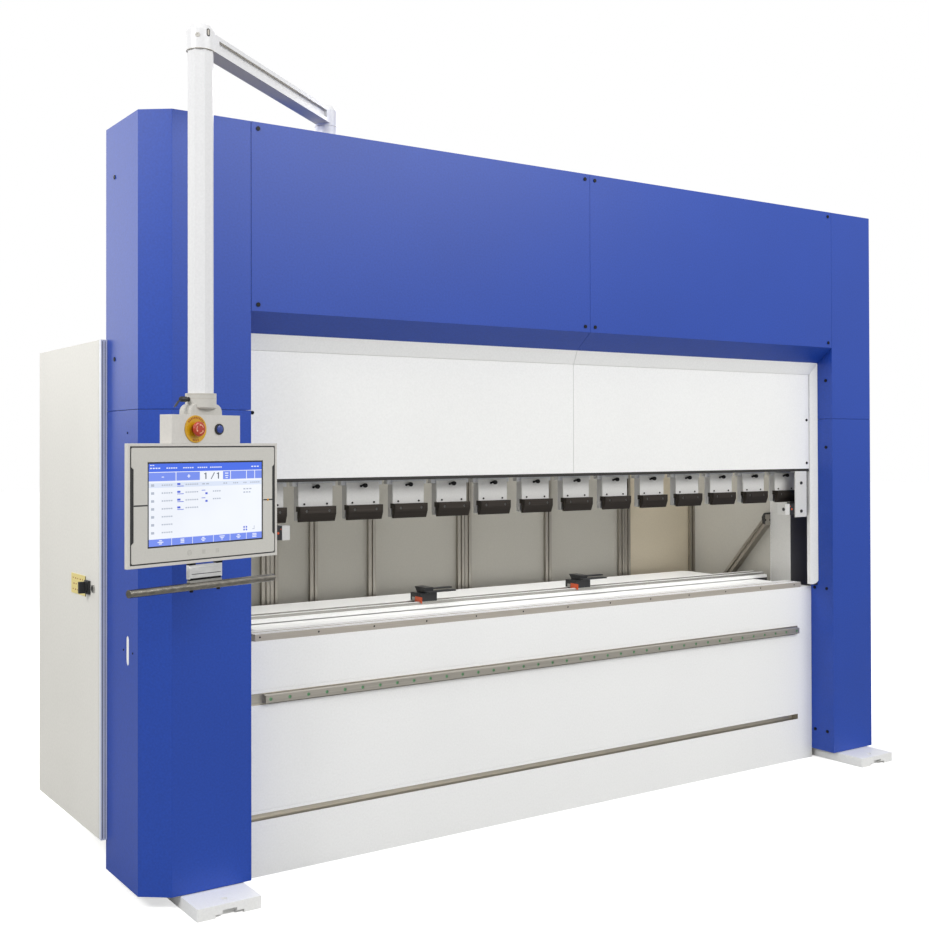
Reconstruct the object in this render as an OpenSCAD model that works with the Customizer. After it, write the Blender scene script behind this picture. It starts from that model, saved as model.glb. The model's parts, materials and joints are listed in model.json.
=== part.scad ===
// Servo-electric press brake: portal frame, driven ram with tool clamps,
// table with die seat, backgauge, rear guard, control cabinet and pendant.
// X runs along the bending line, Y to the back, Z up. The origin is on the
// floor, under the middle of the bending line.

/* [Machine] */
// Clear width between the two columns
open_w = 3230; // [2900:10:3600]
// Height of the column covers over the floor
machine_h = 2822; // [2760:2:2900]
// Distance from the bending line forward to the front of the covers
front_y = 195; // [185:1:215]
// Thickness of the painted cover sheets
sheet_t = 3; // [2:0.5:4]

/* [Column covers] */
// Width of the flat front of a column cover
col_w = 302; // [290:1:340]
// Width of the slanted outer edge, along X
chamfer_x = 96; // [60:1:120]
// Depth of the slanted outer edge, along Y
chamfer_y = 76; // [50:1:100]
// Depth of a column cover, front to back
cover_d = 425; // [420:1:440]
// Height of the lower edge of the covers over the floor
cover_z0 = 47; // [46:1:60]
// Height of the seam between lower and upper cover
seam_z = 1762; // [1600:1:1900]
// Gap between neighbouring cover sheets
seam_gap = 1.5; // [1:0.5:3]
// Depth of the inner edge of the covers, beside the ram
return_d = 100; // [90:1:110]
// Depth of the inward fold at the back of a cover
back_fold = 40; // [20:1:60]

/* [Frame] */
// Width of a steel column, along X
post_w = 270; // [250:1:290]
// Distance from the bending line back to the front of the steel columns
post_y = 83; // [80:1:95]
// Depth of a steel column, front to back
post_d = 138; // [120:1:140]
// Thickness of the plates of the frame
frame_t = 25; // [15:1:30]
// Height of the upper beam
upper_h = 640; // [400:10:700]
// Thickness of a foot plate
foot_t = 45; // [30:1:46]
// Width of a foot plate
foot_w = 240; // [200:1:250]
// Distance that a foot plate reaches in front of the covers
foot_reach = 152; // [120:1:200]
// Distance that a foot plate reaches behind the steel columns
foot_tail = 104; // [100:1:140]
// Radius of a floor anchor hole
anchor_r = 11; // [8:0.5:14]
// Distance from the front edge of the foot to the anchor hole
anchor_in = 50; // [35:1:60]
// Width of the pry notch in the front of a foot
notch_w = 106; // [60:1:140]
// Height of the pry notch in the front of a foot
notch_h = 24; // [10:1:28]

/* [Table] */
// Height of the table over the floor
table_z = 916; // [905:1:925]
// Thickness of the lower beam
beam_t = 120; // [110:1:124]
// Height of the die rail
die_h = 26; // [20:1:30]
// Depth of the die rail, centred on the bending line
die_d = 106; // [90:1:112]
// Length of the die rail
die_len = 3070; // [2700:10:3100]
// Width of the key slot in the die rail
key_w = 13; // [10:1:16]
// Depth of the key slot in the die rail
key_d = 8; // [4:1:12]
// Distance from the bending line to the narrow locating groove
groove_y = 35; // [25:1:42]
// Width of the narrow locating groove
groove_w = 4; // [2:1:6]
// Spacing of the grub screws in the front of the die rail
die_pitch = 250; // [150:10:300]
// Height of the centre of the front support rail
rail_z = 670; // [600:1:700]
// Height of the front support rail
rail_h = 34; // [28:1:36]
// Thickness of the front support rail
rail_t = 28; // [20:1:30]
// Length of the front support rail
rail_len = 3000; // [2600:80:3080]
// Bolt spacing of the front support rail
rail_pitch = 80; // [60:1:105]
// Distance from the end of the front support rail to its first bolt
rail_end = 20; // [15:1:40]
// Depth of the machined seat behind the front support rail
seat_d = 8; // [4:1:12]
// Height of the machined seat behind the front support rail
seat_h = 44; // [42:1:50]
// Distance from the end of the table to the end of its seat and slot
seat_end = 107; // [60:1:120]
// Height of the lower clamping slot over the floor
slot_z = 224; // [150:1:300]
// Width of the lower clamping slot
slot_h = 26; // [16:1:30]
// Depth of the lower clamping slot
slot_d = 30; // [15:1:40]
// Depth of the scribed lines beside the seat and the slot
line_d = 2; // [1:1:4]

/* [Fascia] */
// Height of the lower edge of the flat upper front
fascia_z = 2126; // [2080:1:2150]
// Height of the edge where blue soffit and white trim meet
soffit_z = 2052; // [2030:1:2060]
// Distance from the front of the covers back to that edge
soffit_d = 91; // [60:1:94]
// Height of the lower edge of the white trim
trim_z = 1992; // [1960:1:2000]
// Clearance between the white trim and the ram cover
trim_gap = 3; // [2:1:5]
// Height of the lower end of the white side plates
side_plate_z = 904; // [870:1:915]
// Depth of the inner fold of the white side plates
side_plate_fold = 20; // [10:1:30]

/* [Ram] */
// Height of the lower edge of the ram over the floor, fully up
ram_z = 1491; // [1470:1:1520]
// Height of the ram
ram_h = 774; // [760:1:790]
// Thickness of the ram
ram_t = 70; // [70:1:76]
// Length of the ram
ram_len = 3150; // [2900:2:3160]
// Distance from the bending line forward to the ram cover
ram_cover_y = 77; // [72:1:79]
// Height of the black strip under the ram cover
strip_h = 13; // [8:1:20]

/* [Tool clamps] */
// Width of a clamp
clamp_w = 150; // [100:1:160]
// Spacing of the six clamps on the left
clamp_pitch_a = 215; // [205:1:220]
// Spacing of the clamps on the right
clamp_pitch_b = 233; // [205:1:235]
// Number of clamps spaced with the left spacing after the first
clamps_a = 5; // [3:1:5]
// Number of clamps spaced with the right spacing
clamps_b = 8; // [5:1:8]
// Distance from the end of the ram to the middle of the first clamp
clamp_first = 105; // [100:1:160]
// Distance from the other end of the ram to the middle of the last clamp
clamp_last = 106; // [100:1:160]
// Height of the white clamp plate
clamp_plate_h = 90; // [70:1:95]
// Thickness of the white clamp plate
clamp_plate_t = 6; // [4:1:8]
// Gap between the ram and the top of the white clamp plate
clamp_top_gap = 9; // [5:1:12]
// Height of the black clamp block
block_h = 60; // [50:1:65]
// Width of the black clamp block
block_w = 158; // [150:1:166]
// Depth of the black clamp block in front of the tool slot
block_d = 25; // [20:1:30]
// Width of the tool slot
tang_w = 14; // [13:1:15]
// Height of the tool slot
tang_h = 40; // [30:1:44]
// Depth of the clamp body behind the tool slot
clamp_back = 27; // [20:1:28]

/* [Light guard] */
// Height of the light guard brackets
guard_bracket_h = 236; // [200:1:250]
// Width of the light guard brackets
guard_bracket_w = 87; // [60:1:100]
// Height of a light guard head
guard_head_h = 66; // [40:1:68]
// Width of a light guard head
guard_head_w = 38; // [30:1:50]

/* [Drive] */
// Distance from the column's inner face to the ball screw
screw_in = 150; // [140:1:160]
// Radius of a ball screw
screw_r = 20; // [16:1:25]
// Running clearance round the turning shafts
run_gap = 0.05; // [0.02:0.01:0.09]
// Radius of the large belt pulley
pulley_r = 70; // [60:1:75]
// Radius of the small belt pulley
pinion_r = 25; // [20:1:30]
// Distance from the ball screw forward to the motor shaft
motor_dy = 125; // [120:1:127]
// Width of a servo motor
motor_w = 104; // [90:1:110]
// Length of a servo motor
motor_len = 250; // [200:1:300]
// Radius of the motor shaft
motor_shaft_r = 9.5; // [8:0.5:12]
// Height of the drive plate over the floor
drive_z = 2500; // [2480:1:2540]
// Thickness of the drive plate
drive_t = 30; // [20:1:40]
// Width of a ram guide rail
guide_w = 30; // [25:1:35]
// Thickness of a ram guide rail
guide_t = 20; // [16:1:24]
// Free clearance between a guide rail and its carriage
slide_gap = 0.3; // [0.2:0.1:0.5]

/* [Backgauge] */
// Height of the white shelf behind the table
shelf_z = 912; // [905:1:914]
// Distance from the bending line back to the gauge beam
gauge_y = 205; // [200:1:260]
// Depth of the gauge beam
gauge_d = 120; // [110:1:140]
// Thickness of the gauge beam
gauge_t = 16; // [12:1:25]
// Height of the gauge rails
gauge_rail_h = 12; // [8:1:16]
// Width of the gauge rails
gauge_rail_w = 20; // [14:1:24]
// Spacing of the two gauge rails
gauge_rail_pitch = 64; // [60:1:70]
// Position of the left finger, from the middle of the machine
finger_left_x = -582; // [-1200:1:-300]
// Position of the right finger, from the middle of the machine
finger_right_x = 300; // [0:1:1200]
// Width of a finger carriage
carriage_w = 86; // [60:1:100]
// Height of a finger carriage over the gauge rails
carriage_h = 36; // [25:1:45]
// Length of a finger bar
finger_len = 88; // [80:1:150]
// Length of the finger blades, beside the bar
blade_len = 98; // [60:1:130]

/* [Rear guard] */
// Distance from the bending line back to the rear guard
guard_y = 790; // [770:1:900]
// Height of the top of the rear guard
guard_h = 2000; // [1700:10:2100]
// Width of the guard profiles
profile_w = 40; // [30:1:45]
// Width of the slot in the guard profiles
profile_slot = 8; // [6:1:10]
// Thickness of the guard sheets
guard_sheet = 2; // [1.5:0.5:4]

/* [Control cabinet] */
// Width of the cabinet, front to back
cab_w = 800; // [600:10:900]
// Height of the cabinet
cab_h = 1869; // [1500:1:2000]
// Depth of the cabinet, along X
cab_d = 365; // [300:1:380]
// Height of the lower edge of the cabinet over the floor
cab_z = 161; // [100:1:300]
// Thickness of the cabinet walls
cab_t = 2.5; // [2:0.5:4]
// Thickness of the door with its folded edge
door_t = 24; // [20:1:30]
// Gap for the seal between the door and the cabinet
door_gap = 3; // [2:1:5]
// Height of the main switch over the floor
switch_z = 1091; // [900:1:1300]
// Distance from the front edge of the door to the main switch
switch_in = 123; // [110:1:400]
// Width of the upright edge strip between the door and the column cover
edge_strip_w = 24; // [20:1:110]

/* [Pendant] */
// Distance from the middle of the machine to the arm pivot
arm_x = 1165; // [1000:1:1300]
// Distance from the bending line back to the arm pivot
arm_y = 70; // [0:1:90]
// Reach of the arm from its pivot to the pole
arm_len = 1011; // [990:1:1100]
// Direction of the arm, from straight to the left towards the front
arm_angle = 38.4; // [36:0.2:48]
// Height of the arm profile
arm_h = 58; // [44:1:70]
// Width of the arm profile
arm_w = 64; // [50:1:84]
// Distance from the top of the covers up to the lower side of the arm
arm_rise = 96; // [78:1:160]
// Radius of the pole
pole_r = 40; // [30:1:42]
// Height of the lower end of the pole over the floor
pole_z = 1768; // [1760:1:1850]
// Turn of the screen towards the middle of the machine
hmi_turn = 18; // [10:1:24]
// Width of the screen housing
hmi_w = 620; // [560:1:640]
// Height of the screen housing
hmi_h = 384; // [360:1:410]
// Depth of the screen housing
hmi_d = 60; // [40:1:70]
// Width of the lit screen
screen_w = 476; // [440:1:490]
// Height of the lit screen
screen_h = 268; // [250:1:276]
// Width of the push-button box
box_w = 284; // [240:1:300]
// Height of the push-button box
box_h = 92; // [80:1:100]
// Depth of the push-button box
box_d = 60; // [56:1:80]
// Radius of the emergency stop button
estop_r = 24; // [18:1:26]
// Radius of the yellow disc under the emergency stop
estop_disc_r = 44; // [32:1:45]
// Radius of the start button
start_r = 13; // [8:1:15]
// Radius of the handle bar under the screen
handle_r = 13; // [10:1:16]
// Distance from the lower edge of the screen housing to the handle bar
handle_drop = 76; // [50:1:90]
// Length of the handle bar
handle_len = 600; // [500:10:640]
// Distance that the handle bar stands in front of the pole's axis
handle_out = 20; // [10:1:24]

/* [Hidden] */
$fn = 48;

blue = "royalblue";
white = "whitesmoke";
grey = "gainsboro";
steel = "silver";
dark = "dimgray";
black = "#262626";

half = open_w / 2;
side_x = half + col_w + chamfer_x;
post_back = post_y + post_d;
beam_y = -front_y + 142;
beam_back = beam_y + beam_t;
beam_z = table_z - die_h;
die_y = die_d / 2;
screw_x = half + screw_in;
post_x0 = half;
post_x1 = half + post_w;
roof_z = machine_h - sheet_t;
post_top = roof_z;
upper_z = post_top - upper_h;
seat_x = half - seat_end;
soffit_y = -front_y + soffit_d;
ram_y = ram_t / 2;
ram_half = ram_len / 2;
ram_cover_z = ram_z + strip_h;
ram_top = ram_z + ram_h;
trim_y = -ram_cover_y - trim_gap;
clamp_z1 = ram_z - clamp_top_gap;
clamp_z0 = clamp_z1 - clamp_plate_h;
block_z0 = clamp_z0 - block_h;
tang_y = tang_w / 2;
clamp_x = [for (i = [0 : clamps_a + clamps_b])
    i <= clamps_a ? clamp_first - ram_half + i * clamp_pitch_a
        : ram_half - clamp_last - (clamps_a + clamps_b - i) * clamp_pitch_b];

// ---------- helpers ----------

// Left-hand normal of the step from a to b
function normal(a, b) = let (d = b - a) [-d[1], d[0]] / norm(d);

// Outline of a folded sheet: the given path, and the same path moved inward by t
function inset(p, i, t) =
    i == 0 ? p[0] + t * normal(p[0], p[1])
    : i == len(p) - 1 ? p[i] + t * normal(p[i - 1], p[i])
    : let (m = normal(p[i - 1], p[i]), n = normal(p[i], p[i + 1]))
        p[i] + t * (m + n) / (1 + m * n);
function folded(p, t) = concat(p, [for (i = [len(p) - 1 : -1 : 0]) inset(p, i, t)]);

// A sheet folded along a path in plan, standing upright
module upright_sheet(path, t, z0, z1) {
    translate([0, 0, z0]) linear_extrude(z1 - z0) polygon(folded(path, t));
}

// A profile in Y and Z, run along X
module along_x(x0, x1) {
    translate([x0, 0, 0]) rotate([90, 0, 90]) linear_extrude(x1 - x0) children();
}

// A profile in X and Z, run along Y
module along_y(y0, y1) {
    translate([0, y1, 0]) rotate([90, 0, 0]) linear_extrude(y1 - y0) children();
}

// A box given by its two corners
module block(a, b) {
    translate(a) cube(b - a);
}

// A pin along X, Y or Z between two points on its axis
module pin_x(x0, x1, y, z, r) {
    translate([x0, y, z]) rotate([0, 90, 0]) cylinder(r = r, h = x1 - x0);
}
module pin_y(y0, y1, x, z, r) {
    translate([x, y1, z]) rotate([90, 0, 0]) cylinder(r = r, h = y1 - y0);
}
module pin_z(z0, z1, x, y, r) {
    translate([x, y, z0]) cylinder(r = r, h = z1 - z0);
}

module left() { mirror([1, 0, 0]) children(); }
module both() { children(); left() children(); }

// A flat plate with round corners
module round_plate(a, b, r) {
    difference() {
        block(a, b);
        for (x = [a[0], b[0]], y = [a[1], b[1]]) corner_cut(x, y, a, b, r);
    }
}
module corner_cut(x, y, a, b, r) {
    sx = x == a[0] ? 1 : -1;
    sy = y == a[1] ? 1 : -1;
    difference() {
        translate([x - (sx > 0 ? 1 : r), y - (sy > 0 ? 1 : r), a[2] - 1])
            cube([r + 1, r + 1, b[2] - a[2] + 2]);
        translate([x + sx * r, y + sy * r, a[2] - 2]) cylinder(r = r, h = b[2] - a[2] + 4);
    }
}

// ---------- frame ----------

module side_frame() {
    shoulder_y = beam_y + 3;
    pocket_y0 = post_y + frame_t;
    pocket_z = [foot_t, table_z - 60, ram_z, drive_z - frame_t, post_top];
    difference() {
        union() {
            block([post_x0, post_y, foot_t], [post_x1, post_back, post_top]);
            block([post_x0, shoulder_y, foot_t], [post_x1, post_y, beam_z - frame_t]);
        }
        for (i = [0 : len(pocket_z) - 2])
            block([post_x0 + frame_t, pocket_y0, pocket_z[i] + frame_t],
                [post_x1 + 1, post_back - frame_t, pocket_z[i + 1]]);
        block([post_x0 + frame_t, shoulder_y + frame_t, foot_t + frame_t],
            [post_x1 + 1, post_y, beam_z - 2 * frame_t]);
    }
}
module side_frames() color(grey) both() side_frame();

module foot() {
    x0 = screw_x - foot_w / 2;
    x1 = screw_x + foot_w / 2;
    y0 = -front_y - foot_reach;
    stem_w = notch_w / 2;
    difference() {
        round_plate([x0, y0, 0], [x1, post_back + foot_tail, foot_t], 6);
        pin_z(-1, foot_t + 1, screw_x, y0 + anchor_in, anchor_r);
        pin_z(-1, foot_t + 1, screw_x, post_back + foot_tail - anchor_in, anchor_r);
        block([screw_x - notch_w / 2, y0 - 1, -1], [screw_x + notch_w / 2, y0 + anchor_in / 3, notch_h / 2]);
        block([screw_x - stem_w / 2, y0 - 1, -1], [screw_x + stem_w / 2, y0 + anchor_in / 2, notch_h]);
    }
}
module feet() color(white) both() foot();

module lower_beam() {
    color(white) difference() {
        block([-half, beam_y, 0], [half, beam_back, beam_z]);
        // machined seat of the front rail
        block([-half - 1, beam_y - 1, rail_z - seat_h / 2], [seat_x, beam_y + seat_d, rail_z + seat_h / 2]);
        // clamping slot
        block([-half - 1, beam_y - 1, slot_z - slot_h / 2], [seat_x, beam_y + slot_d, slot_z + slot_h / 2]);
        for (z = [rail_z + seat_h / 2 + 12, slot_z + slot_h / 2 + 12])
            block([-half - 1, beam_y - 1, z], [seat_x, beam_y + line_d, z + line_d]);
    }
}

module die_rail() {
    color(steel) difference() {
        along_x(-die_len / 2, die_len / 2) difference() {
            translate([-die_y, beam_z]) square([die_d, die_h]);
            translate([-key_w / 2, table_z - key_d]) square([key_w, key_d + 1]);
            translate([-groove_y - groove_w / 2, table_z - groove_w]) square([groove_w, groove_w + 1]);
            translate([groove_y - groove_w / 2, table_z - groove_w]) square([groove_w, groove_w + 1]);
        }
        for (x = die_screw_x) pin_y(-die_y - 1, -die_y + die_screw_len, x, die_screw_z, die_screw_r);
    }
}
die_screw_r = 4;
die_screw_len = 12;
die_screw_z = table_z - 12;
die_screw_n = floor((die_len - 30) / die_pitch / 2);
die_screw_x = [for (i = [-die_screw_n : die_screw_n]) i * die_pitch - 15];

bolt_r = 7;
bolt_d = 9;
rail_y = beam_y + seat_d;
rail_bolt_x = [for (x = [-rail_len / 2 + rail_end : rail_pitch : rail_len / 2 - rail_end + 1]) x];
module front_rail() {
    waist = 4;
    lip = 10;
    color(steel) difference() {
        along_x(-rail_len / 2, rail_len / 2) polygon([
            [rail_y, rail_z - rail_h / 2], [rail_y, rail_z + rail_h / 2],
            [rail_y - rail_t + lip + waist, rail_z + rail_h / 2],
            [rail_y - rail_t + lip, rail_z + rail_h / 2 - waist],
            [rail_y - rail_t + waist, rail_z + rail_h / 2 - waist / 2],
            [rail_y - rail_t, rail_z + rail_h / 2 - waist],
            [rail_y - rail_t, rail_z - rail_h / 2 + waist],
            [rail_y - rail_t + waist, rail_z - rail_h / 2 + waist / 2],
            [rail_y - rail_t + lip, rail_z - rail_h / 2 + waist],
            [rail_y - rail_t + lip + waist, rail_z - rail_h / 2]]);
        for (x = rail_bolt_x) pin_y(rail_y - rail_t - 1, rail_y - rail_t + bolt_d, x, rail_z, bolt_r);
    }
}
module front_rail_bolts() {
    socket_r = 3.5;
    recess = 1.5;
    color(dark) for (x = rail_bolt_x) difference() {
        pin_y(rail_y - rail_t + recess, rail_y - rail_t + bolt_d, x, rail_z, bolt_r - 0.5);
        translate([x, rail_y - rail_t + recess + 4, rail_z]) rotate([90, 0, 0]) cylinder(r = socket_r, h = 6, $fn = 6);
    }
}

module upper_beam() {
    color(grey) {
        difference() {
            block([-half, post_y, upper_z], [half, post_back, post_top]);
            block([-half - 1, post_y + frame_t, upper_z + frame_t], [half + 1, post_back - frame_t, post_top - frame_t]);
        }
        // lugs that carry the fascia
        for (x = [-half + 60, -12, half - 60 - frame_t])
            block([x, -front_y + sheet_t, post_top - fascia_lug_h], [x + frame_t, post_y, post_top]);
    }
}
fascia_lug_h = 180;

module roof_panel() {
    color(blue) difference() {
        block([-half + seam_gap, -front_y + roof_fold, roof_z], [half - seam_gap, post_back, machine_h]);
        pin_z(roof_z - 1, machine_h + 1, -arm_x, arm_y, base_bore);
    }
}
base_bore = 25;
roof_fold = 31;

// ---------- covers ----------

fascia_path = [[-front_y + roof_fold - 1, machine_h], [-front_y, machine_h], [-front_y, fascia_z],
    [soffit_y, soffit_z], [soffit_y, soffit_z + 32]];
module fascia(x0, x1) {
    color(blue) difference() {
        along_x(x0, x1) polygon(folded(fascia_path, sheet_t));
        for (p = fascia_screws) pin_y(-front_y - 1, -front_y + sheet_t + 1, p[0], p[1], screw_hole_r);
    }
}
module fascia_left() fascia(-half + seam_gap, -seam_gap / 2);
module fascia_right() fascia(seam_gap / 2, half - seam_gap);

screw_hole_r = 4;
head_r = 8;
head_h = 3;
screw_in_x = 28;
screw_in_z = 24;
fascia_screws = [for (x = [-half + screw_in_x, -screw_in_x, screw_in_x, half - screw_in_x],
    z = [fascia_z + screw_in_z, machine_h - screw_in_z]) [x, z]];

trim_path = [[soffit_y, soffit_z + 32], [soffit_y, soffit_z], [trim_y, trim_z]];
module opening_trim() {
    x1 = half - sheet_t;
    color(white) {
        for (s = [0, 1]) mirror([s, 0, 0])
            along_x(seam_gap / 2, x1) polygon(folded(trim_path, sheet_t));
        both() difference() {
            upright_sheet(side_plate_path, sheet_t, side_plate_z, soffit_z);
            // mitre against the sloping trim over the opening
            along_x(0, half + 1) polygon([[soffit_y, soffit_z], [trim_y, trim_z],
                [trim_y + 200, trim_z], [trim_y + 200, soffit_z + 1], [soffit_y, soffit_z + 1]]);
            // rounded lower front corner
            translate([half - plate_corner, 0, side_plate_z + plate_corner]) rotate([90, 0, 0])
                linear_extrude(-2 * soffit_y) difference() {
                    translate([0, -plate_corner - 1]) square(plate_corner + 1);
                    circle(r = plate_corner);
                }
        }
    }
}
plate_corner = 30;
side_plate_x = ram_half + trim_gap;
side_plate_path = [[side_plate_x, trim_y + side_plate_fold], [side_plate_x, trim_y], [half - 2, soffit_y + 1]];

function cover_path(inner) = [[half, -front_y + inner], [half, -front_y], [half + col_w, -front_y],
    [side_x, -front_y + chamfer_y], [side_x, -front_y + cover_d],
    [side_x - back_fold, -front_y + cover_d]];
module column_covers_lower() {
    color(blue) both() difference() {
        upright_sheet(cover_path(beam_y + front_y), sheet_t, cover_z0, seam_z - seam_gap);
        block([half - 1, -front_y + return_d, side_plate_z - 6], [half + sheet_t + 1, beam_y + 1, seam_z]);
        // lifting slot in the side
        translate([side_x - sheet_t - 1, -front_y + chamfer_y + vent_in, vent_z]) {
            cube([sheet_t + 2, vent_w, vent_h]);
            for (z = [0, vent_h]) translate([0, vent_w / 2, z]) rotate([0, 90, 0]) cylinder(r = vent_w / 2, h = sheet_t + 2);
        }
    }
}
vent_w = 30;
vent_h = 76;
vent_z = 858;
vent_in = 95;
module column_covers_upper() {
    color(blue) both() {
        upright_sheet(cover_path(return_d), sheet_t, seam_z, machine_h - sheet_t);
        // top of the cover
        translate([0, 0, machine_h - sheet_t]) linear_extrude(sheet_t) polygon([
            [half, -front_y], [half + col_w, -front_y], [side_x, -front_y + chamfer_y],
            [side_x, -front_y + cover_d], [half, -front_y + cover_d]]);
    }
}

// Pan heads on the covers, and the grub screws of the die rail
module head_front(x, y, z) pin_y(y - head_h, y, x, z, head_r);
module head_side(x, y, z) pin_x(x - head_h, x, y, z, head_r);
module black_screws() {
    color(black) {
        for (p = fascia_screws) {
            head_front(p[0], -front_y, p[1]);
            pin_y(-front_y, -front_y + sheet_t, p[0], p[1], screw_hole_r - slide_gap);
        }
        for (x = die_screw_x) pin_y(-die_y + 2, -die_y + die_screw_len, x, die_screw_z, die_screw_r);
        both() {
            for (z = [side_plate_z - 18, 150]) head_side(half, beam_y - 24, z);
            for (z = [side_plate_z - 18, 150, seam_z - 147, seam_z + 197]) head_side(half, -front_y + 40, z);
            for (z = [machine_h - 196, seam_z + 190])
                pin_x(side_x, side_x + head_h, -front_y + cover_d - 100, z, head_r);
        }
    }
}

// ---------- rear guard ----------

// A slotted profile of square section, upright
module profile_section() {
    p = profile_w;
    s = profile_slot;
    difference() {
        square([p, p]);
        for (a = [0 : 3]) translate([p / 2, p / 2]) rotate(a * 90)
            translate([-s / 2, p / 2 - s]) square([s, s + 1]);
    }
}
module profile_z(x, y, z0, z1) translate([x, y, z0]) linear_extrude(z1 - z0) profile_section();
module profile_x(x0, x1, y, z) translate([0, y, z]) along_x(x0, x1) profile_section();
module profile_y(x, y0, y1, z) translate([x, 0, z]) along_y(y0, y1) profile_section();

guard_back = guard_y + profile_w;
guard_bay = open_w / 6;
guard_post_x = half - profile_w;
jamb_x = 2 * guard_bay;
guard_z0 = 60;
module guard_frame() {
    p = profile_w;
    color(steel) {
        both() {
            profile_z(guard_post_x, guard_y, 0, guard_h);
            profile_z(jamb_x, guard_y, 0, guard_h);
            profile_x(jamb_x + p, guard_post_x, guard_y, guard_z0);
            profile_x(jamb_x + p, guard_post_x, guard_y, guard_h - p);
            profile_y(guard_post_x, post_back, guard_y, guard_z0);
            profile_y(guard_post_x, post_back, guard_y, guard_h - p);
        }
        profile_x(-half, half, guard_y, guard_h);
        // slanting braces from the columns to the middle rails
        both() {
            profile_y(guard_post_x, post_back, guard_y, mid_rail_z);
            brace();
        }
        both() for (z = guard_hinge_z) {
            pin_z(z - hinge_half, z - slide_gap, guard_hinge_x, guard_hinge_y, hinge_r);
            pin_z(z - hinge_half, z + hinge_half, guard_hinge_x, guard_hinge_y, hinge_pin_r);
            block([guard_hinge_x, guard_back, z - hinge_half], [guard_hinge_x + hinge_r + 8, guard_hinge_y, z - slide_gap]);
        }
    }
}
brace_z = 1252;
brace_tilt = 42.5;
mid_rail_z = 800;
module brace() {
    drop = brace_z - mid_rail_z - profile_w;
    deep = profile_w / sin(brace_tilt);
    run = drop * tan(brace_tilt);
    side = [[post_back, brace_z], [post_back, brace_z - deep],
        [post_back + run - deep * tan(brace_tilt), brace_z - drop], [post_back + run, brace_z - drop]];
    mid = [for (f = [-1, 1]) profile_slot * f / 2 / sin(brace_tilt) - deep / 2];
    difference() {
        along_x(guard_post_x, half) polygon(side);
        for (x = [guard_post_x - 1, half - profile_slot]) along_x(x, x + profile_slot + 1) polygon([
            [post_back - 1, brace_z + mid[0] + 1 / tan(brace_tilt)], [post_back - 1, brace_z + mid[1] + 1 / tan(brace_tilt)],
            [post_back + (drop + mid[1] - 3) * tan(brace_tilt), brace_z - drop + 3],
            [post_back + (drop + mid[0] - 3) * tan(brace_tilt), brace_z - drop + 3]]);
    }
}

// A sheet whose edges stand in the slots of the profiles round it
module slot_sheet(x0, x1, z0, z1) {
    e = profile_slot - slide_gap;
    y = guard_y + profile_w / 2;
    block([x0 - e, y - guard_sheet / 2, z0 - e], [x1 + e, y + guard_sheet / 2, z1 + e]);
}

module guard_panels() {
    color(grey) both() {
        slot_sheet(jamb_x + profile_w, guard_post_x, guard_z0 + profile_w, guard_h - profile_w);
        block([half, post_back + seam_gap, guard_z0], [half + guard_sheet, guard_back, guard_h]);
    }
}

door_play = 3;
door_z0 = guard_z0;
door_z1 = guard_h - door_play;
hinge_r = 7;
guard_hinge_x = jamb_x - door_play / 2;
guard_hinge_y = guard_back + hinge_r + 2;
left_mullion = 1.58 * guard_bay;
module guard_door(mullions) {
    p = profile_w;
    x0 = door_play / 2;
    x1 = jamb_x - door_play;
    color(steel) {
        profile_z(x0, guard_y, door_z0, door_z1);
        profile_z(x1 - p, guard_y, door_z0, door_z1);
        for (x = mullions) profile_z(x - p / 2, guard_y, door_z0 + p, door_z1 - p);
        for (z = [door_z0, door_z1 - p]) profile_x(x0 + p, x1 - p, guard_y, z);
        for (z = guard_hinge_z) {
            block([x1 - p, guard_back, z], [guard_hinge_x - hinge_r + 1, guard_back + 3, z + hinge_half]);
            difference() {
                union() {
                    pin_z(z, z + hinge_half, guard_hinge_x, guard_hinge_y, hinge_r);
                    block([guard_hinge_x - hinge_r - 1, guard_back, z], [guard_hinge_x, guard_hinge_y, z + hinge_half]);
                }
                pin_z(z - 1, z + hinge_half + 1, guard_hinge_x, guard_hinge_y, hinge_pin_r + run_gap);
            }
        }
    }
}
hinge_half = 35;
hinge_pin_r = 3.5;
guard_hinge_z = [300, 1030, 1760];
module guard_door_sheets(mullions) {
    p = profile_w;
    edges = concat([door_play / 2 + p / 2], mullions, [jamb_x - door_play - p / 2]);
    color(grey) for (i = [0 : len(mullions)])
        slot_sheet(edges[i] + p / 2, edges[i + 1] - p / 2, door_z0 + p, door_z1 - p);
}
module guard_door_right() guard_door([guard_bay]);
module guard_door_left() left() guard_door([guard_bay, left_mullion]);
module guard_door_right_sheet() guard_door_sheets([guard_bay]);
module guard_door_left_sheet() left() guard_door_sheets([guard_bay, left_mullion]);

// ---------- control cabinet ----------

cab_x = -side_x + 2;
cab_x1 = cab_x + cab_d;
cab_y = -front_y + cover_d + 7;
cab_y1 = cab_y + cab_w;
cab_z1 = cab_z + cab_h;
door_x1 = cab_x - door_gap;
door_x = door_x1 - door_t;
cab_rim = 25;
cab_hinge_x = door_x1 - door_t / 2;
cab_hinge_y = cab_y1 + hinge_r + 2;
cab_hinge_z = [cab_z + 250, (cab_z + cab_z1) / 2, cab_z1 - 250];
switch_y = cab_y + switch_in;
lock_y = cab_y + 60;
spindle_r = 8;

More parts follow.
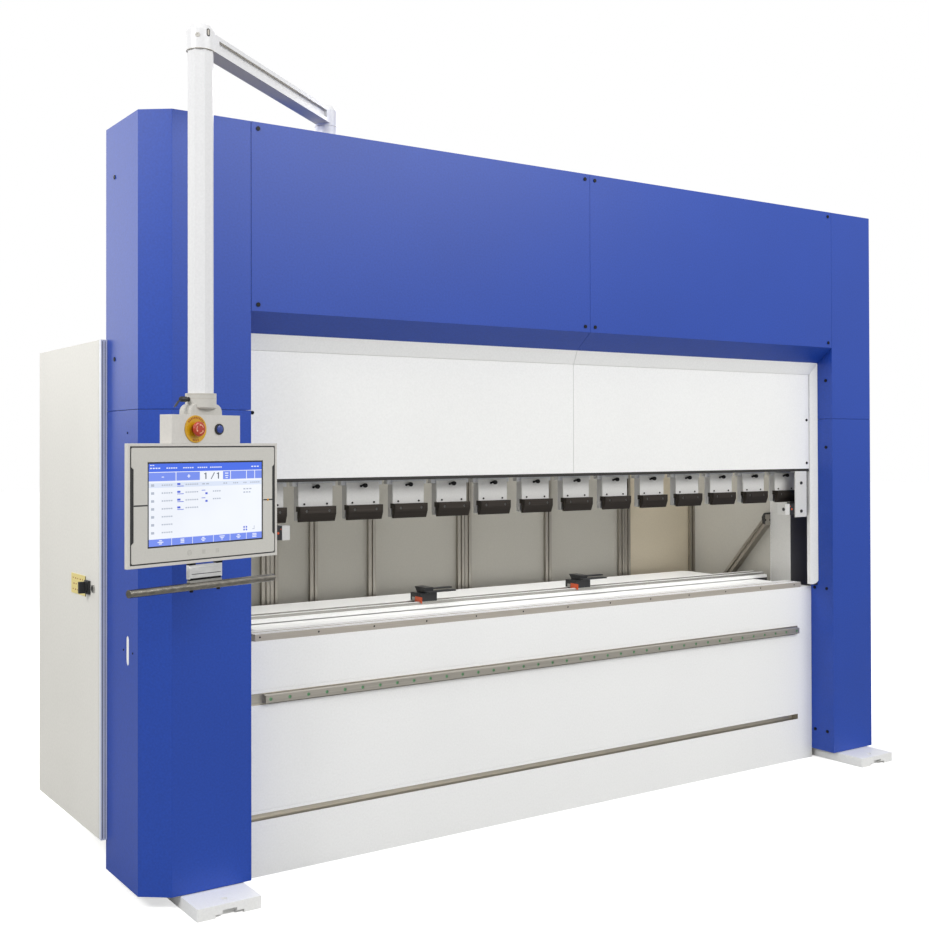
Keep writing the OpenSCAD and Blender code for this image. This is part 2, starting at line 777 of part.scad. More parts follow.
module cabinet_body() {
    t = cab_t;
    color(grey) {
        difference() {
            block([cab_x, cab_y, cab_z], [cab_x1, cab_y1, cab_z1]);
            block([cab_x + t, cab_y + t, cab_z + t], [cab_x1 - t, cab_y1 - t, cab_z1 - t]);
            block([cab_x - 1, cab_y + cab_rim, cab_z + cab_rim], [cab_x + t + 1, cab_y1 - cab_rim, cab_z1 - cab_rim]);
        }
        // lugs against the steel column
        for (z = [cab_z + 240, cab_z1 - 300])
            block([-post_x1 + 15, post_back, z], [-post_x0 - 45, cab_y, z + 60]);
        edge_strip();
        for (z = cab_hinge_z) {
            block([cab_hinge_x, cab_y1, z - hinge_half], [cab_x + 40, cab_y1 + 3, z - slide_gap]);
            block([cab_hinge_x - 3, cab_y1 + 1, z - hinge_half], [cab_hinge_x + 3, cab_hinge_y, z - slide_gap]);
            pin_z(z - hinge_half, z - slide_gap, cab_hinge_x, cab_hinge_y, hinge_r);
            pin_z(z - hinge_half, z + hinge_half, cab_hinge_x, cab_hinge_y, hinge_pin_r);
        }
    }
}

// A folded strip in front of the door's edge, with a flange back to the cabinet
module edge_strip() {
    t = cab_t;
    y1 = cab_y - door_gap;
    difference() {
        block([door_x, cab_y - edge_strip_w, cab_z], [-side_x - 1, y1, cab_z1]);
        block([door_x + t, cab_y - edge_strip_w + t, cab_z - 1], [-side_x, y1 - t, cab_z1 + 1]);
    }
    block([-side_x - 2, y1 - t, cab_z], [cab_x + 14, y1, cab_z1]);
    block([cab_x + 14 - t, y1 - t, cab_z], [cab_x + 14, cab_y + 1, cab_z1]);
}

module cabinet_drives() {
    plate_x = cab_x1 - cab_t - 15;
    drive_d = 190;
    color(steel) {
        block([plate_x - 3, cab_y + 60, cab_z + 60], [plate_x, cab_y1 - 60, cab_z1 - 60]);
        for (y = [cab_y + 90, cab_y1 - 110], z = [cab_z + 90, cab_z1 - 110])
            block([plate_x, y, z], [cab_x1 - cab_t, y + 20, z + 20]);
    }
    color(dark) {
        for (i = [0 : 2])
            block([plate_x - 3 - drive_d, cab_y + 110 + i * 190, cab_z + 1150], [plate_x - 3, cab_y + 240 + i * 190, cab_z + 1550]);
        block([plate_x - 3 - drive_d / 2, cab_y + 110, cab_z + 700], [plate_x - 3, cab_y1 - 110, cab_z + 820]);
        block([plate_x - 3 - drive_d, cab_y + 140, cab_z + 180], [plate_x - 3, cab_y + 440, cab_z + 480]);
    }
}

module cabinet_door() {
    t = cab_t;
    color(grey) difference() {
        union() {
            difference() {
                block([door_x, cab_y, cab_z], [door_x1, cab_y1, cab_z1]);
                block([door_x + t, cab_y + t, cab_z + t], [door_x1 + 1, cab_y1 - t, cab_z1 - t]);
            }
            for (z = cab_hinge_z) {
                pin_z(z, z + hinge_half, cab_hinge_x, cab_hinge_y, hinge_r);
                block([cab_hinge_x - 3, cab_y1 - t, z], [cab_hinge_x + 3, cab_hinge_y, z + hinge_half]);
            }
        }
        for (z = cab_hinge_z) pin_z(z - 1, z + hinge_half + 1, cab_hinge_x, cab_hinge_y, hinge_pin_r + run_gap);
        for (y = [switch_y, lock_y]) pin_x(door_x - 1, door_x + t + 1, y, switch_z, spindle_r + run_gap);
    }
}

switch_plate_w = 180;
switch_plate_h = 78;
switch_plate_t = 3;
switch_base = 52;
switch_base_t = 10;
module switch_plate() {
    y0 = switch_y + switch_base / 2 + 6;
    color("gold") block([door_x - switch_plate_t, y0, switch_z - switch_plate_h / 2],
        [door_x, y0 + switch_plate_w, switch_z + switch_plate_h / 2]);
    color(black) difference() {
        block([door_x - switch_base_t, switch_y - switch_base / 2, switch_z - switch_base / 2],
            [door_x, switch_y + switch_base / 2, switch_z + switch_base / 2]);
        pin_x(door_x - switch_base_t - 1, door_x + 1, switch_y, switch_z, spindle_r + run_gap);
    }
}
module switch_handle() {
    face = door_x - switch_base_t - slide_gap;
    color(black) {
        pin_x(face - 6, face, switch_y, switch_z, 21);
        pin_x(face - 2, door_x + cab_t + 8, switch_y, switch_z, spindle_r);
        block([face - 28, switch_y - 8, switch_z - 22], [face - 4, switch_y + 8, switch_z + 22]);
    }
}
module door_lock() {
    inner = door_x + cab_t + 1;
    color(steel) {
        pin_x(door_x - slide_gap - 6, door_x - slide_gap, lock_y, switch_z, 14);
        pin_x(door_x - slide_gap - 2, inner + 4, lock_y, switch_z, spindle_r);
        block([inner, lock_y - 8, switch_z - 8], [inner + 4, lock_y + 8, switch_z + 38]);
    }
}

// ---------- ram drive ----------

motor_x = screw_x;
motor_y = -motor_dy;
pulley_z0 = drive_z + drive_t + 25;
pulley_h = 40;
housing_r = 48;
nut_z = ram_z + 289;
nut_h = 80;
foot_bearing_z = nut_z - 380;
guide_x = half + 65;
guide_z0 = ram_z - 190;
tab_z0 = ram_z + 160;
tab_z1 = ram_z + 510;
tab_x = screw_x - 65;
carriage_len = 80;

module servo_motors() {
    w = motor_w / 2;
    z0 = drive_z - motor_len;
    color(dark) both() difference() {
        union() {
            block([motor_x - w, motor_y - w, drive_z - 20], [motor_x + w, motor_y + w, drive_z]);
            block([motor_x - w + 5, motor_y - w + 5, z0], [motor_x + w - 5, motor_y + w - 5, drive_z - 20]);
            block([motor_x - 20, motor_y + w - 5, z0 + 30], [motor_x + 20, motor_y + w + 15, z0 + 90]);
        }
        pin_z(drive_z - 70, drive_z + 1, motor_x, motor_y, motor_shaft_r + run_gap);
    }
}

module drive_plate() {
    x0 = post_x0 + 15;
    x1 = post_x1;
    y0 = -front_y + sheet_t + 5;
    difference() {
        union() {
            block([x0, y0, drive_z], [x1, post_y, drive_z + drive_t]);
            pin_z(drive_z - 50, drive_z + 1, screw_x, 0, housing_r);
            for (x = [x0, x1 - 15]) along_x(x, x + 15) polygon([[-80, drive_z], [post_y, drive_z], [post_y, drive_z - 200]]);
        }
        pin_z(drive_z - 51, drive_z + drive_t + 1, screw_x, 0, screw_r + run_gap);
        pin_z(drive_z - 1, drive_z + drive_t + 1, motor_x, motor_y, 30);
    }
    difference() {
        block([screw_x - 50, -50, foot_bearing_z], [screw_x + 50, post_y, foot_bearing_z + 40]);
        pin_z(foot_bearing_z - 1, foot_bearing_z + 41, screw_x, 0, screw_r + run_gap);
    }
}
module drive_plates() color(dark) both() drive_plate();

// The belt's outline round two pulleys in line along Y
function arc(c, r, a0, a1, n) = [for (i = [0 : n]) let (t = a0 + (a1 - a0) * i / n) c + r * [cos(t), sin(t)]];
module belt_outline(r_big, r_small) {
    a = asin((r_big - r_small) / motor_dy);
    polygon(concat(arc([0, 0], r_big, -a, 180 + a, 32), arc([0, -motor_dy], r_small, 180 + a, 360 - a, 20)));
}
belt_t = 4;
module drive_belts() {
    g = slide_gap;
    color(black) both() translate([screw_x, 0, pulley_z0 + 2]) linear_extrude(pulley_h - 4) difference() {
        belt_outline(pulley_r + g + belt_t, pinion_r + g + belt_t);
        belt_outline(pulley_r + g, pinion_r + g);
    }
}

module screw() {
    color(steel) {
        pin_z(foot_bearing_z, pulley_z0 + pulley_h + 5, screw_x, 0, screw_r);
        pin_z(drive_z + drive_t + slide_gap, pulley_z0, screw_x, 0, screw_r + 12);
        pin_z(pulley_z0, pulley_z0 + pulley_h, screw_x, 0, pulley_r);
    }
}
module screw_right() screw();
module screw_left() left() screw();
module motor_pulley() {
    color(steel) {
        pin_z(drive_z - 65, pulley_z0 + pulley_h + 5, motor_x, motor_y, motor_shaft_r);
        pin_z(pulley_z0, pulley_z0 + pulley_h, motor_x, motor_y, pinion_r);
    }
}
module motor_pulley_right() motor_pulley();
module motor_pulley_left() left() motor_pulley();

module ram_guides() {
    w = guide_w / 2;
    color(steel) both()
        block([guide_x - w, post_y - guide_t, guide_z0], [guide_x + w, post_y, drive_z - 10]);
}

// ---------- ram ----------

module ram_beam() {
    color(grey) along_y(-ram_y, ram_y) polygon([
        [-ram_half, ram_z], [ram_half, ram_z], [ram_half, tab_z0], [tab_x, tab_z0], [tab_x, tab_z1],
        [ram_half, tab_z1], [ram_half, ram_top], [-ram_half, ram_top], [-ram_half, tab_z1],
        [-tab_x, tab_z1], [-tab_x, tab_z0], [-ram_half, tab_z0]]);
}

module ram_runners() {
    w = guide_w / 2 + slide_gap;
    color(dark) both() {
        for (z = [tab_z0 + 10, tab_z1 - 10 - carriage_len]) difference() {
            block([guide_x - 35, ram_y, z], [guide_x + 35, post_y - 6, z + carriage_len]);
            block([guide_x - w, post_y - guide_t - slide_gap, z - 1], [guide_x + w, post_y + 1, z + carriage_len + 1]);
        }
        difference() {
            block([tab_x, -45, nut_z], [screw_x + 45, 45, nut_z + nut_h]);
            pin_z(nut_z - 1, nut_z + nut_h + 1, screw_x, 0, screw_r + run_gap);
        }
    }
}

ram_cover_path = [[-ram_y, ram_top], [-ram_cover_y, ram_top], [-ram_cover_y, ram_cover_z], [-ram_y, ram_cover_z]];
module ram_covers() {
    color(white) both() along_x(seam_gap / 2, ram_half) polygon(folded(ram_cover_path, sheet_t));
}
module ram_strip() {
    color(black) block([-ram_half, -ram_cover_y + 1, ram_z], [ram_half, -ram_y, ram_cover_z]);
}

ear_w = 20;
ear_h = 20;
module clamp_bodies() {
    w = clamp_w / 2;
    back = tang_y + clamp_back;
    face = -tang_y + clamp_plate_t;
    color(steel) for (x = clamp_x) translate([x, 0, 0]) {
        along_x(-w, w) polygon([[face, clamp_z0], [face, ram_z], [back, ram_z], [back, block_z0 + 4],
            [tang_y, block_z0 + 4], [tang_y, clamp_z0]]);
        for (s = [0, 1]) mirror([s, 0, 0])
            block([w, face + 6, ram_z - ear_h], [w + ear_w, back, ram_z]);
    }
}
module clamp_plates() {
    w = clamp_w / 2;
    color(white) for (x = clamp_x) difference() {
        block([x - w, -tang_y, clamp_z0], [x + w, -tang_y + clamp_plate_t, clamp_z1]);
        for (p = clamp_plate_holes) pin_y(-tang_y - 1, clamp_plate_t, x + p[0], clamp_z0 + p[1], clamp_screw_r);
    }
}
clamp_screw_r = 3;
knob_r = 9;
clamp_plate_holes = [[-clamp_w / 3, 9], [clamp_w / 3, 9], [0, clamp_plate_h - 12]];
module clamp_blocks() {
    w = block_w / 2;
    color(black) for (x = clamp_x) difference() {
        along_x(x - w, x + w) polygon([[-tang_y - block_d, clamp_z0], [-tang_y - block_d, clamp_z0 - block_h / 2],
            [-tang_y - block_d / 2, block_z0], [-tang_y, block_z0], [-tang_y, block_z0 + tang_h],
            [tang_y, block_z0 + tang_h], [tang_y, clamp_z0]]);
        for (s = [-1, 1]) pin_y(-tang_y - block_d - 1, -tang_y - block_d + block_bolt_d,
            x + s * clamp_w / 3, clamp_z0 - block_bolt_z, block_bolt_r);
    }
}
block_bolt_r = 6;
block_bolt_d = 8;
block_bolt_z = 18;
module clamp_bolts() {
    front = -tang_y;
    color(black) for (x = clamp_x) {
        for (p = clamp_plate_holes) pin_y(front, front + clamp_plate_t, x + p[0], clamp_z0 + p[1], clamp_screw_r);
        for (p = [clamp_plate_holes[0], clamp_plate_holes[1]]) pin_y(front - 3, front, x + p[0], clamp_z0 + p[1], 4);
        pin_y(front - 25, front, x, clamp_z0 + clamp_plate_holes[2][1], knob_r);
        for (s = [-1, 1]) difference() {
            pin_y(front - block_d + 2, front - block_d + block_bolt_d, x + s * clamp_w / 3, clamp_z0 - block_bolt_z, block_bolt_r - 0.5);
            translate([x + s * clamp_w / 3, front - block_d + 6, clamp_z0 - block_bolt_z]) rotate([90, 0, 0]) cylinder(r = 3, h = 6, $fn = 6);
        }
        for (s = [-1, 1]) pin_y(front + clamp_plate_t + 2, front + clamp_plate_t + 6, x + s * (clamp_w + ear_w) / 2, ram_z - ear_h / 2, 6);
    }
}

bracket_y = -ram_cover_y;
bracket_in = 19;
head_x1 = ram_half - bracket_in;
head_z = clamp_z0 - block_h - 4;
module light_guard_brackets() {
    color(white) both() {
        block([head_x1 - guard_bracket_w, bracket_y, ram_z - guard_bracket_h], [head_x1, bracket_y + 6, ram_z]);
        block([head_x1 - guard_bracket_w, bracket_y + 6, ram_z - 6], [head_x1, -ram_y - 5, ram_z]);
    }
}
head_nose = 118;
module light_guards() {
    lens_r = 7;
    color(black) both() {
        difference() {
            union() {
                block([head_x1 - guard_head_w, bracket_y + 6, head_z - guard_head_h], [head_x1, 22, head_z]);
                block([head_x1 - guard_head_w - head_nose, bracket_y + 6, head_z - guard_head_h + 8], [head_x1 - guard_head_w, -20, head_z - 4]);
            }
            pin_x(head_x1 - guard_head_w - 1, head_x1 - guard_head_w + 2, 0, head_z - guard_head_h / 2, lens_r);
        }
        for (z = [60, 205]) pin_y(bracket_y - 5, bracket_y, head_x1 - guard_bracket_w / 2, ram_z - z, 8);
    }
}

// ---------- backgauge ----------

stand_x0 = half - 98;
stand_x1 = guard_post_x - 5;
stand_z0 = shelf_z - 132;
stand_z1 = shelf_z - 32;
stand_y1 = guard_y - 50;
shelf_t = 4;
shelf_x = stand_x0 - 39;
truck_x0 = shelf_x + 4;
truck_x1 = stand_x1 - 2;
truck_top = shelf_z + 3.7;
beam_gz = shelf_z + 4;
lift_pin_r = 8;
lift_pin_x = (truck_x0 + stand_x0 - 2) / 2;
lift_pin_len = 125;
gauge_mid = gauge_y + gauge_d / 2;

module shelf() {
    color(white) {
        round_plate([-shelf_x, beam_back, shelf_z - shelf_t], [shelf_x, stand_y1, shelf_z], 40);
        block([-shelf_x + 45, beam_back, shelf_z - 62], [shelf_x - 45, beam_back + sheet_t, shelf_z - shelf_t]);
    }
}

y_rail_w = 20;
y_rail_x = (stand_x0 + stand_x1) / 2;
module gauge_stand() {
    bar = 40;
    color(grey) {
        both() {
            block([stand_x0, beam_back, stand_z0], [stand_x1, stand_y1, stand_z1]);
            block([stand_x0, stand_y1 - bar, 0], [stand_x1, stand_y1, stand_z0]);
        }
        block([-stand_x0, stand_y1 - bar, stand_z1 - 30], [stand_x0, stand_y1, shelf_z - shelf_t]);
    }
    color(steel) both()
        block([y_rail_x - y_rail_w / 2, beam_back + 20, stand_z1], [y_rail_x + y_rail_w / 2, stand_y1 - bar - 3, stand_z1 + 15]);
}

module gauge_trucks() {
    g = slide_gap;
    leg_x1 = stand_x0 - 2;
    color(dark) both() difference() {
        union() {
            block([truck_x0, gauge_y, stand_z1 + g], [truck_x1, gauge_y + gauge_d, truck_top]);
            block([truck_x0, gauge_y, stand_z0], [leg_x1, gauge_y + gauge_d, truck_top]);
        }
        block([y_rail_x - y_rail_w / 2 - g, gauge_y - 1, stand_z1], [y_rail_x + y_rail_w / 2 + g, gauge_y + gauge_d + 1, stand_z1 + 15 + g]);
        pin_z(beam_gz - lift_pin_len - 8, truck_top + 1, lift_pin_x, gauge_mid, lift_pin_r + run_gap);
    }
}

gauge_rail_y = [gauge_y + 23, gauge_y + 23 + gauge_rail_pitch];
gauge_top = beam_gz + gauge_t;
rail_top = gauge_top + gauge_rail_h;
module gauge_beam() {
    color(steel) {
        block([-truck_x1, gauge_y, beam_gz], [truck_x1, gauge_y + gauge_d, gauge_top]);
        both() pin_z(beam_gz - lift_pin_len, beam_gz + 1, lift_pin_x, gauge_mid, lift_pin_r);
        for (y = gauge_rail_y) block([-truck_x1 + 10, y - gauge_rail_w / 2, gauge_top], [truck_x1 - 10, y + gauge_rail_w / 2, rail_top]);
    }
}

module finger(x) {
    g = slide_gap;
    w = carriage_w / 2;
    y0 = gauge_rail_y[0] - gauge_rail_w / 2;
    y1 = gauge_rail_y[1] + gauge_rail_w / 2;
    top = rail_top + carriage_h;
    bar_w = 22;
    bar_h = 25;
    bar_y1 = y1;
    bar_y0 = bar_y1 - finger_len;
    color(black) {
        difference() {
            block([x - w, y0, gauge_top + 1], [x + w, y1, top]);
            for (y = gauge_rail_y) block([x - w - 1, y - gauge_rail_w / 2 - g, gauge_top], [x + w + 1, y + gauge_rail_w / 2 + g, rail_top + g]);
        }
        along_x(x - bar_w, x + bar_w) polygon([[bar_y0, top], [bar_y0, top + bar_h], [bar_y1, top + bar_h], [bar_y1 - 20, top]]);
        block([x - bar_w, bar_y0, top + 16], [x + bar_w + blade_len, bar_y0 + 26, top + 22]);
        block([x - bar_w, bar_y0 - 15, top + 3], [x + bar_w + blade_len + 12, bar_y0 + 20, top + 9]);
    }
}
module finger_left() finger(finger_left_x);
module finger_right() finger(finger_right_x);

// ---------- pendant ----------

arm_z = machine_h + arm_rise;
pole_x = -arm_x - arm_len * cos(arm_angle);
pole_y = arm_y - arm_len * sin(arm_angle);
spigot_r = 30;
spigot_h = 66;
box_z1 = pole_z - 36;
box_z0 = box_z1 - box_h;
hmi_z1 = box_z0;
hmi_z0 = hmi_z1 - hmi_h;
box_front = -box_d / 2;
button_z = (box_z0 + box_z1) / 2;
estop_x = -48;
start_x = 50;

module at_pole() translate([pole_x, pole_y, 0]) rotate([0, 0, hmi_turn]) children();

module arm_base() {
    color(white) difference() {
        union() {
            pin_z(machine_h, machine_h + 12, -arm_x, arm_y, 85);
            pin_z(machine_h, arm_z - slide_gap, -arm_x, arm_y, 45);
            pin_z(machine_h, arm_z + spigot_h, -arm_x, arm_y, spigot_r);
        }
        pin_z(machine_h - 1, arm_z + spigot_h + 1, -arm_x, arm_y, base_bore - 3);
        for (a = [45 : 90 : 315]) pin_z(machine_h - 1, machine_h + 13, -arm_x + 65 * cos(a), arm_y + 65 * sin(a), 7);
    }
}

knuckle_r = 46;
knuckle_h = 82;
knuckle_slope = 20;
arm_lift = 9;
module pendant_arm() {
    trough_x = knuckle_r + 20;
    color(white) translate([-arm_x, arm_y, arm_z]) rotate([0, 0, 180 + arm_angle]) difference() {
        union() {
            for (x = [0, arm_len]) translate([x, 0, 0]) {
                cylinder(r = knuckle_r, h = knuckle_h - knuckle_slope);
                translate([0, 0, knuckle_h - knuckle_slope]) cylinder(r1 = knuckle_r, r2 = knuckle_r - 13, h = knuckle_slope);
            }
            translate([0, -arm_w / 2, arm_lift]) cube([arm_len, arm_w, arm_h]);
        }
        for (x = [0, arm_len]) translate([x, 0, -1]) cylinder(r = spigot_r + run_gap, h = spigot_h + 3);
        // cable trough along the side
        translate([trough_x, arm_w / 2 - 12, arm_lift + arm_h / 4]) cube([arm_len - 2 * trough_x, 13, arm_h / 2]);
    }
}

module pendant_pole() {
    color(white) translate([pole_x, pole_y, 0]) {
        translate([0, 0, pole_z]) rotate([0, 0, hmi_turn + 22.5]) cylinder(r = pole_r / cos(22.5), h = arm_z - slide_gap - pole_z, $fn = 8);
        translate([0, 0, pole_z]) cylinder(r = spigot_r, h = arm_z + spigot_h - pole_z);
        // cuff at the lower end, and the bracket over the push-button box
        rotate_extrude() polygon([[0, pole_z - 16], [cuff_r - 4, pole_z - 16], [cuff_r, pole_z - 12],
            [cuff_r, pole_z + 34], [0, pole_z + 34]]);
        rotate([0, 0, hmi_turn]) along_y(-box_d / 2 + 2, box_d / 2 - 2) polygon(concat(
            [[-bell_w, box_z1], [bell_w, box_z1]],
            arc([bell_w - bell_r, pole_z - bell_r], bell_r, 0, 90, 12),
            arc([-bell_w + bell_r, pole_z - bell_r], bell_r, 90, 180, 12)));
    }
}
cuff_r = 50;
bell_w = 65;
bell_r = 28;

lever_z = pole_z + 14;
module pole_lever() {
    color(black) at_pole() {
        pin_x(-cuff_r - 36, -cuff_r - slide_gap, 0, lever_z, 9);
        translate([0, 7, 0]) rotate([90, 0, 0]) linear_extrude(14) polygon([[-cuff_r - 26, lever_z + 8],
            [-cuff_r - 40, lever_z + 8], [-cuff_r - 60, lever_z - 22], [-cuff_r - 46, lever_z - 26],
            [-cuff_r - 32, lever_z - 6]]);
    }
}

module button_box() {
    color(grey) at_pole() difference() {
        union() {
            block([-box_w / 2, box_front, box_z0], [box_w / 2, -box_front, box_z1]);
            pin_y(box_front - 3, box_front, start_x, button_z, start_r + 4);
        }
        pin_y(box_front - 1, box_front + 22, estop_x, button_z, 16);
        pin_y(box_front - 4, box_front + 22, start_x, button_z, start_r + run_gap * 4);
    }
}
module estop_disc() {
    color("gold") at_pole() difference() {
        pin_y(box_front - 3, box_front, estop_x, button_z, estop_disc_r);
        pin_y(box_front - 4, box_front + 1, estop_x, button_z, 16);
    }
}
module estop_button() {
    color("red") at_pole() {
        pin_y(box_front - 12, box_front + 10, estop_x, button_z, 15.7);
        pin_y(box_front - 24, box_front - 10, estop_x, button_z, estop_r);
    }
}
module start_button() {
    color(blue) at_pole() pin_y(box_front - 9, box_front + 12, start_x, button_z, start_r);
}

screen_recess = 3;
hmi_frame_d = 16;
hmi_back_in = 35;
module screen_housing() {
    front = -hmi_d / 2;
    rim = 9;
    color(grey) at_pole() difference() {
        union() {
            block([-hmi_w / 2, front, hmi_z0], [hmi_w / 2, front + hmi_frame_d, hmi_z1]);
            block([-hmi_w / 2 + hmi_back_in, front, hmi_z0 + hmi_back_in], [hmi_w / 2 - hmi_back_in, -front, hmi_z1]);
        }
        block([-hmi_w / 2 + rim, front - 1, hmi_z0 + rim], [hmi_w / 2 - rim, front + screen_recess, hmi_z1 - rim]);
        block([-screen_w / 2, front - 1, (hmi_z0 + hmi_z1 - screen_h) / 2], [screen_w / 2, front + screen_recess + 2, (hmi_z0 + hmi_z1 + screen_h) / 2]);
    }
}

module screen_handle() {
    z = hmi_z0 - handle_drop;
    color(steel) at_pole() {
        pin_x(-handle_len / 2, handle_len / 2, -handle_out, z, handle_r);
        block([-69, -handle_out - 8, z + handle_r - 2], [69, -handle_out + 10, hmi_z0]);
    }
}

// ---------- the whole machine ----------

side_frames();
feet();
lower_beam();
die_rail();
front_rail();
front_rail_bolts();
upper_beam();
roof_panel();
fascia_left();
fascia_right();
opening_trim();
column_covers_lower();
column_covers_upper();
black_screws();
guard_frame();
guard_panels();
guard_door_left();
guard_door_left_sheet();
guard_door_right();
guard_door_right_sheet();
cabinet_body();
cabinet_drives();
cabinet_door();
switch_plate();
switch_handle();
door_lock();
servo_motors();
drive_plates();
drive_belts();
screw_left();
screw_right();
motor_pulley_left();
motor_pulley_right();
ram_guides();
ram_beam();
ram_runners();
ram_covers();
ram_strip();
clamp_bodies();
clamp_plates();
clamp_blocks();
clamp_bolts();
light_guard_brackets();
light_guards();
shelf();
gauge_stand();
gauge_trucks();
gauge_beam();
finger_left();
finger_right();
arm_base();
pendant_arm();
pendant_pole();
pole_lever();
button_box();
estop_disc();
estop_button();
start_button();
screen_housing();
screen_handle();
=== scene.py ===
# %% [markdown]
# # A servo-electric press brake
# A press brake bends sheet metal between a ram that comes down and a table that
# stands still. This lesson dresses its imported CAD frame: folded blue covers, a white
# table and ram, a row of tool clamps, a guarded backgauge and a pendant on an arm.
# Every size is in metres and comes from the frame, because the CAD already settled it.

# %% Load the frame
import json
import math

import bmesh
import bpy
from mathutils import Matrix, Vector


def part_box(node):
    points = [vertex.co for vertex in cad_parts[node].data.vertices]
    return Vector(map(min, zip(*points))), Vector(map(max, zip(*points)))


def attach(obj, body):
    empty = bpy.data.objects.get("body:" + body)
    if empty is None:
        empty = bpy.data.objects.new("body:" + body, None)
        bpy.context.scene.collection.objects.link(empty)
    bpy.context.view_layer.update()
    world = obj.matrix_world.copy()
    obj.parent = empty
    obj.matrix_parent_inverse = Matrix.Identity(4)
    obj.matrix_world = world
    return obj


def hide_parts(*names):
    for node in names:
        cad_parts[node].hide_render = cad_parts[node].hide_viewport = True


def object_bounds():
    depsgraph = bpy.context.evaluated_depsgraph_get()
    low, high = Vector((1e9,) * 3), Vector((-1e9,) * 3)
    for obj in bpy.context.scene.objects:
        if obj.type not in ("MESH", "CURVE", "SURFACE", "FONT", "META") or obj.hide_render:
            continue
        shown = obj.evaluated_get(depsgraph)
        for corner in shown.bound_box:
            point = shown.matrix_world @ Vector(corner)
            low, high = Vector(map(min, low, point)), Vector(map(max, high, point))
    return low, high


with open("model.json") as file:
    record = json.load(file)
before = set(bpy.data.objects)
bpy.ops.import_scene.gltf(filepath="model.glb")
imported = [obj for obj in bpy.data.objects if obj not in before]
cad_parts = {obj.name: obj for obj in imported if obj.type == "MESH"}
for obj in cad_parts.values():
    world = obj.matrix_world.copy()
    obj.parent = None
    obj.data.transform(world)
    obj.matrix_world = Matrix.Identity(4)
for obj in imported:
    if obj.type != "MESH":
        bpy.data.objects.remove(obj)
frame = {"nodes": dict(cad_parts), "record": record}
nodes = frame["nodes"]
cad_low, cad_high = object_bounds()
print("CAD box:", [round(v, 3) for v in cad_high - cad_low], "nodes:", len(nodes))

MM = 0.001
node_body = {node: body for body, names in frame["record"]["behaviour"]["bodies"].items() for node in names}

# %% [markdown]
# ## Colours and shader nodes
# Paint makers and screens give colours as sRGB hex codes, but the renderer works with
# linear light. One function turns the first into the second, so that every colour
# below can be read as it would be on a paint card. A second small function adds a
# shader node with its settings, its values and its links in one call.

# %% Colour and node helpers
def linear(hex_code, alpha=1.0):
    """The linear colour of an sRGB code such as 3C5AA8."""
    channels = [int(hex_code[i : i + 2], 16) / 255 for i in (0, 2, 4)]
    return tuple(c / 12.92 if c <= 0.04045 else ((c + 0.055) / 1.055) ** 2.4 for c in channels) + (alpha,)


def add(tree, kind, inputs=None, **settings):
    """Adds a node; inputs maps a socket's name or number to a value or to another node's output."""
    node = tree.nodes.new(kind)
    for setting, value in settings.items():
        setattr(node, setting, value)
    for socket, value in (inputs or {}).items():
        if isinstance(value, bpy.types.NodeSocket):
            tree.links.new(value, node.inputs[socket])
        else:
            node.inputs[socket].default_value = value
    return node


def new_material(name):
    """An empty material, its node tree and its Principled shader."""
    material = bpy.data.materials.new(name)
    material.use_nodes = True
    shader = material.node_tree.nodes["Principled BSDF"]
    return material, material.node_tree, shader


def lighter_and_darker(tree, noise, spread):
    """A multiplier from 1 - spread to 1 + spread, drawn from the middle of a noise."""
    around_one = {"From Min": 0.3, "From Max": 0.7, "To Min": 1 - spread, "To Max": 1 + spread}
    return add(tree, "ShaderNodeMapRange", {"Value": noise, **around_one}).outputs[0]


def surface(tree, shader, hex_code, shade, relief, depth_mm):
    """Gives a shader a colour that follows a multiplier, and a relief of a depth in millimetres."""
    tint = add(tree, "ShaderNodeVectorMath", {0: linear(hex_code)[:3], "Scale": shade}, operation="SCALE")
    bump = add(tree, "ShaderNodeBump", {"Height": relief, "Distance": depth_mm * MM})
    tree.links.new(tint.outputs[0], shader.inputs["Base Color"])
    tree.links.new(bump.outputs["Normal"], shader.inputs["Normal"])


print("white paint is", [round(c, 3) for c in linear("F8F8F6")])

# %% [markdown]
# ## Powder coat
# The covers are folded steel sheet with a baked powder coat. The powder melts into a
# skin with a fine, even grain, which scatters the highlight into a soft sheen. Real
# grain is under a millimetre; here it is drawn a few millimetres wide so that it shows
# at this distance. A slow change over half a metre keeps large sheets from looking flat.

# %% Powder coat
def powder_coat(name, hex_code, roughness, grain_mm=2.5, grain_depth_mm=0.12, spread=0.03, speck=0.03):
    material, tree, shader = new_material(name)
    place = add(tree, "ShaderNodeTexCoord").outputs["Object"]
    cloud = add(tree, "ShaderNodeTexNoise", {"Vector": place, "Scale": 2.0, "Detail": 2.0})
    fine = {"Vector": place, "Scale": 1000 / grain_mm / 3, "Detail": 3.0}
    grain = add(tree, "ShaderNodeTexNoise", fine).outputs["Fac"]
    shade = lighter_and_darker(tree, cloud.outputs["Fac"], spread)
    freckle = lighter_and_darker(tree, grain, speck)
    both = add(tree, "ShaderNodeMath", {0: shade, 1: freckle}, operation="MULTIPLY")
    surface(tree, shader, hex_code, both.outputs[0], grain, grain_depth_mm)
    shader.inputs["Roughness"].default_value = roughness
    shader.inputs["IOR"].default_value = 1.5
    return material


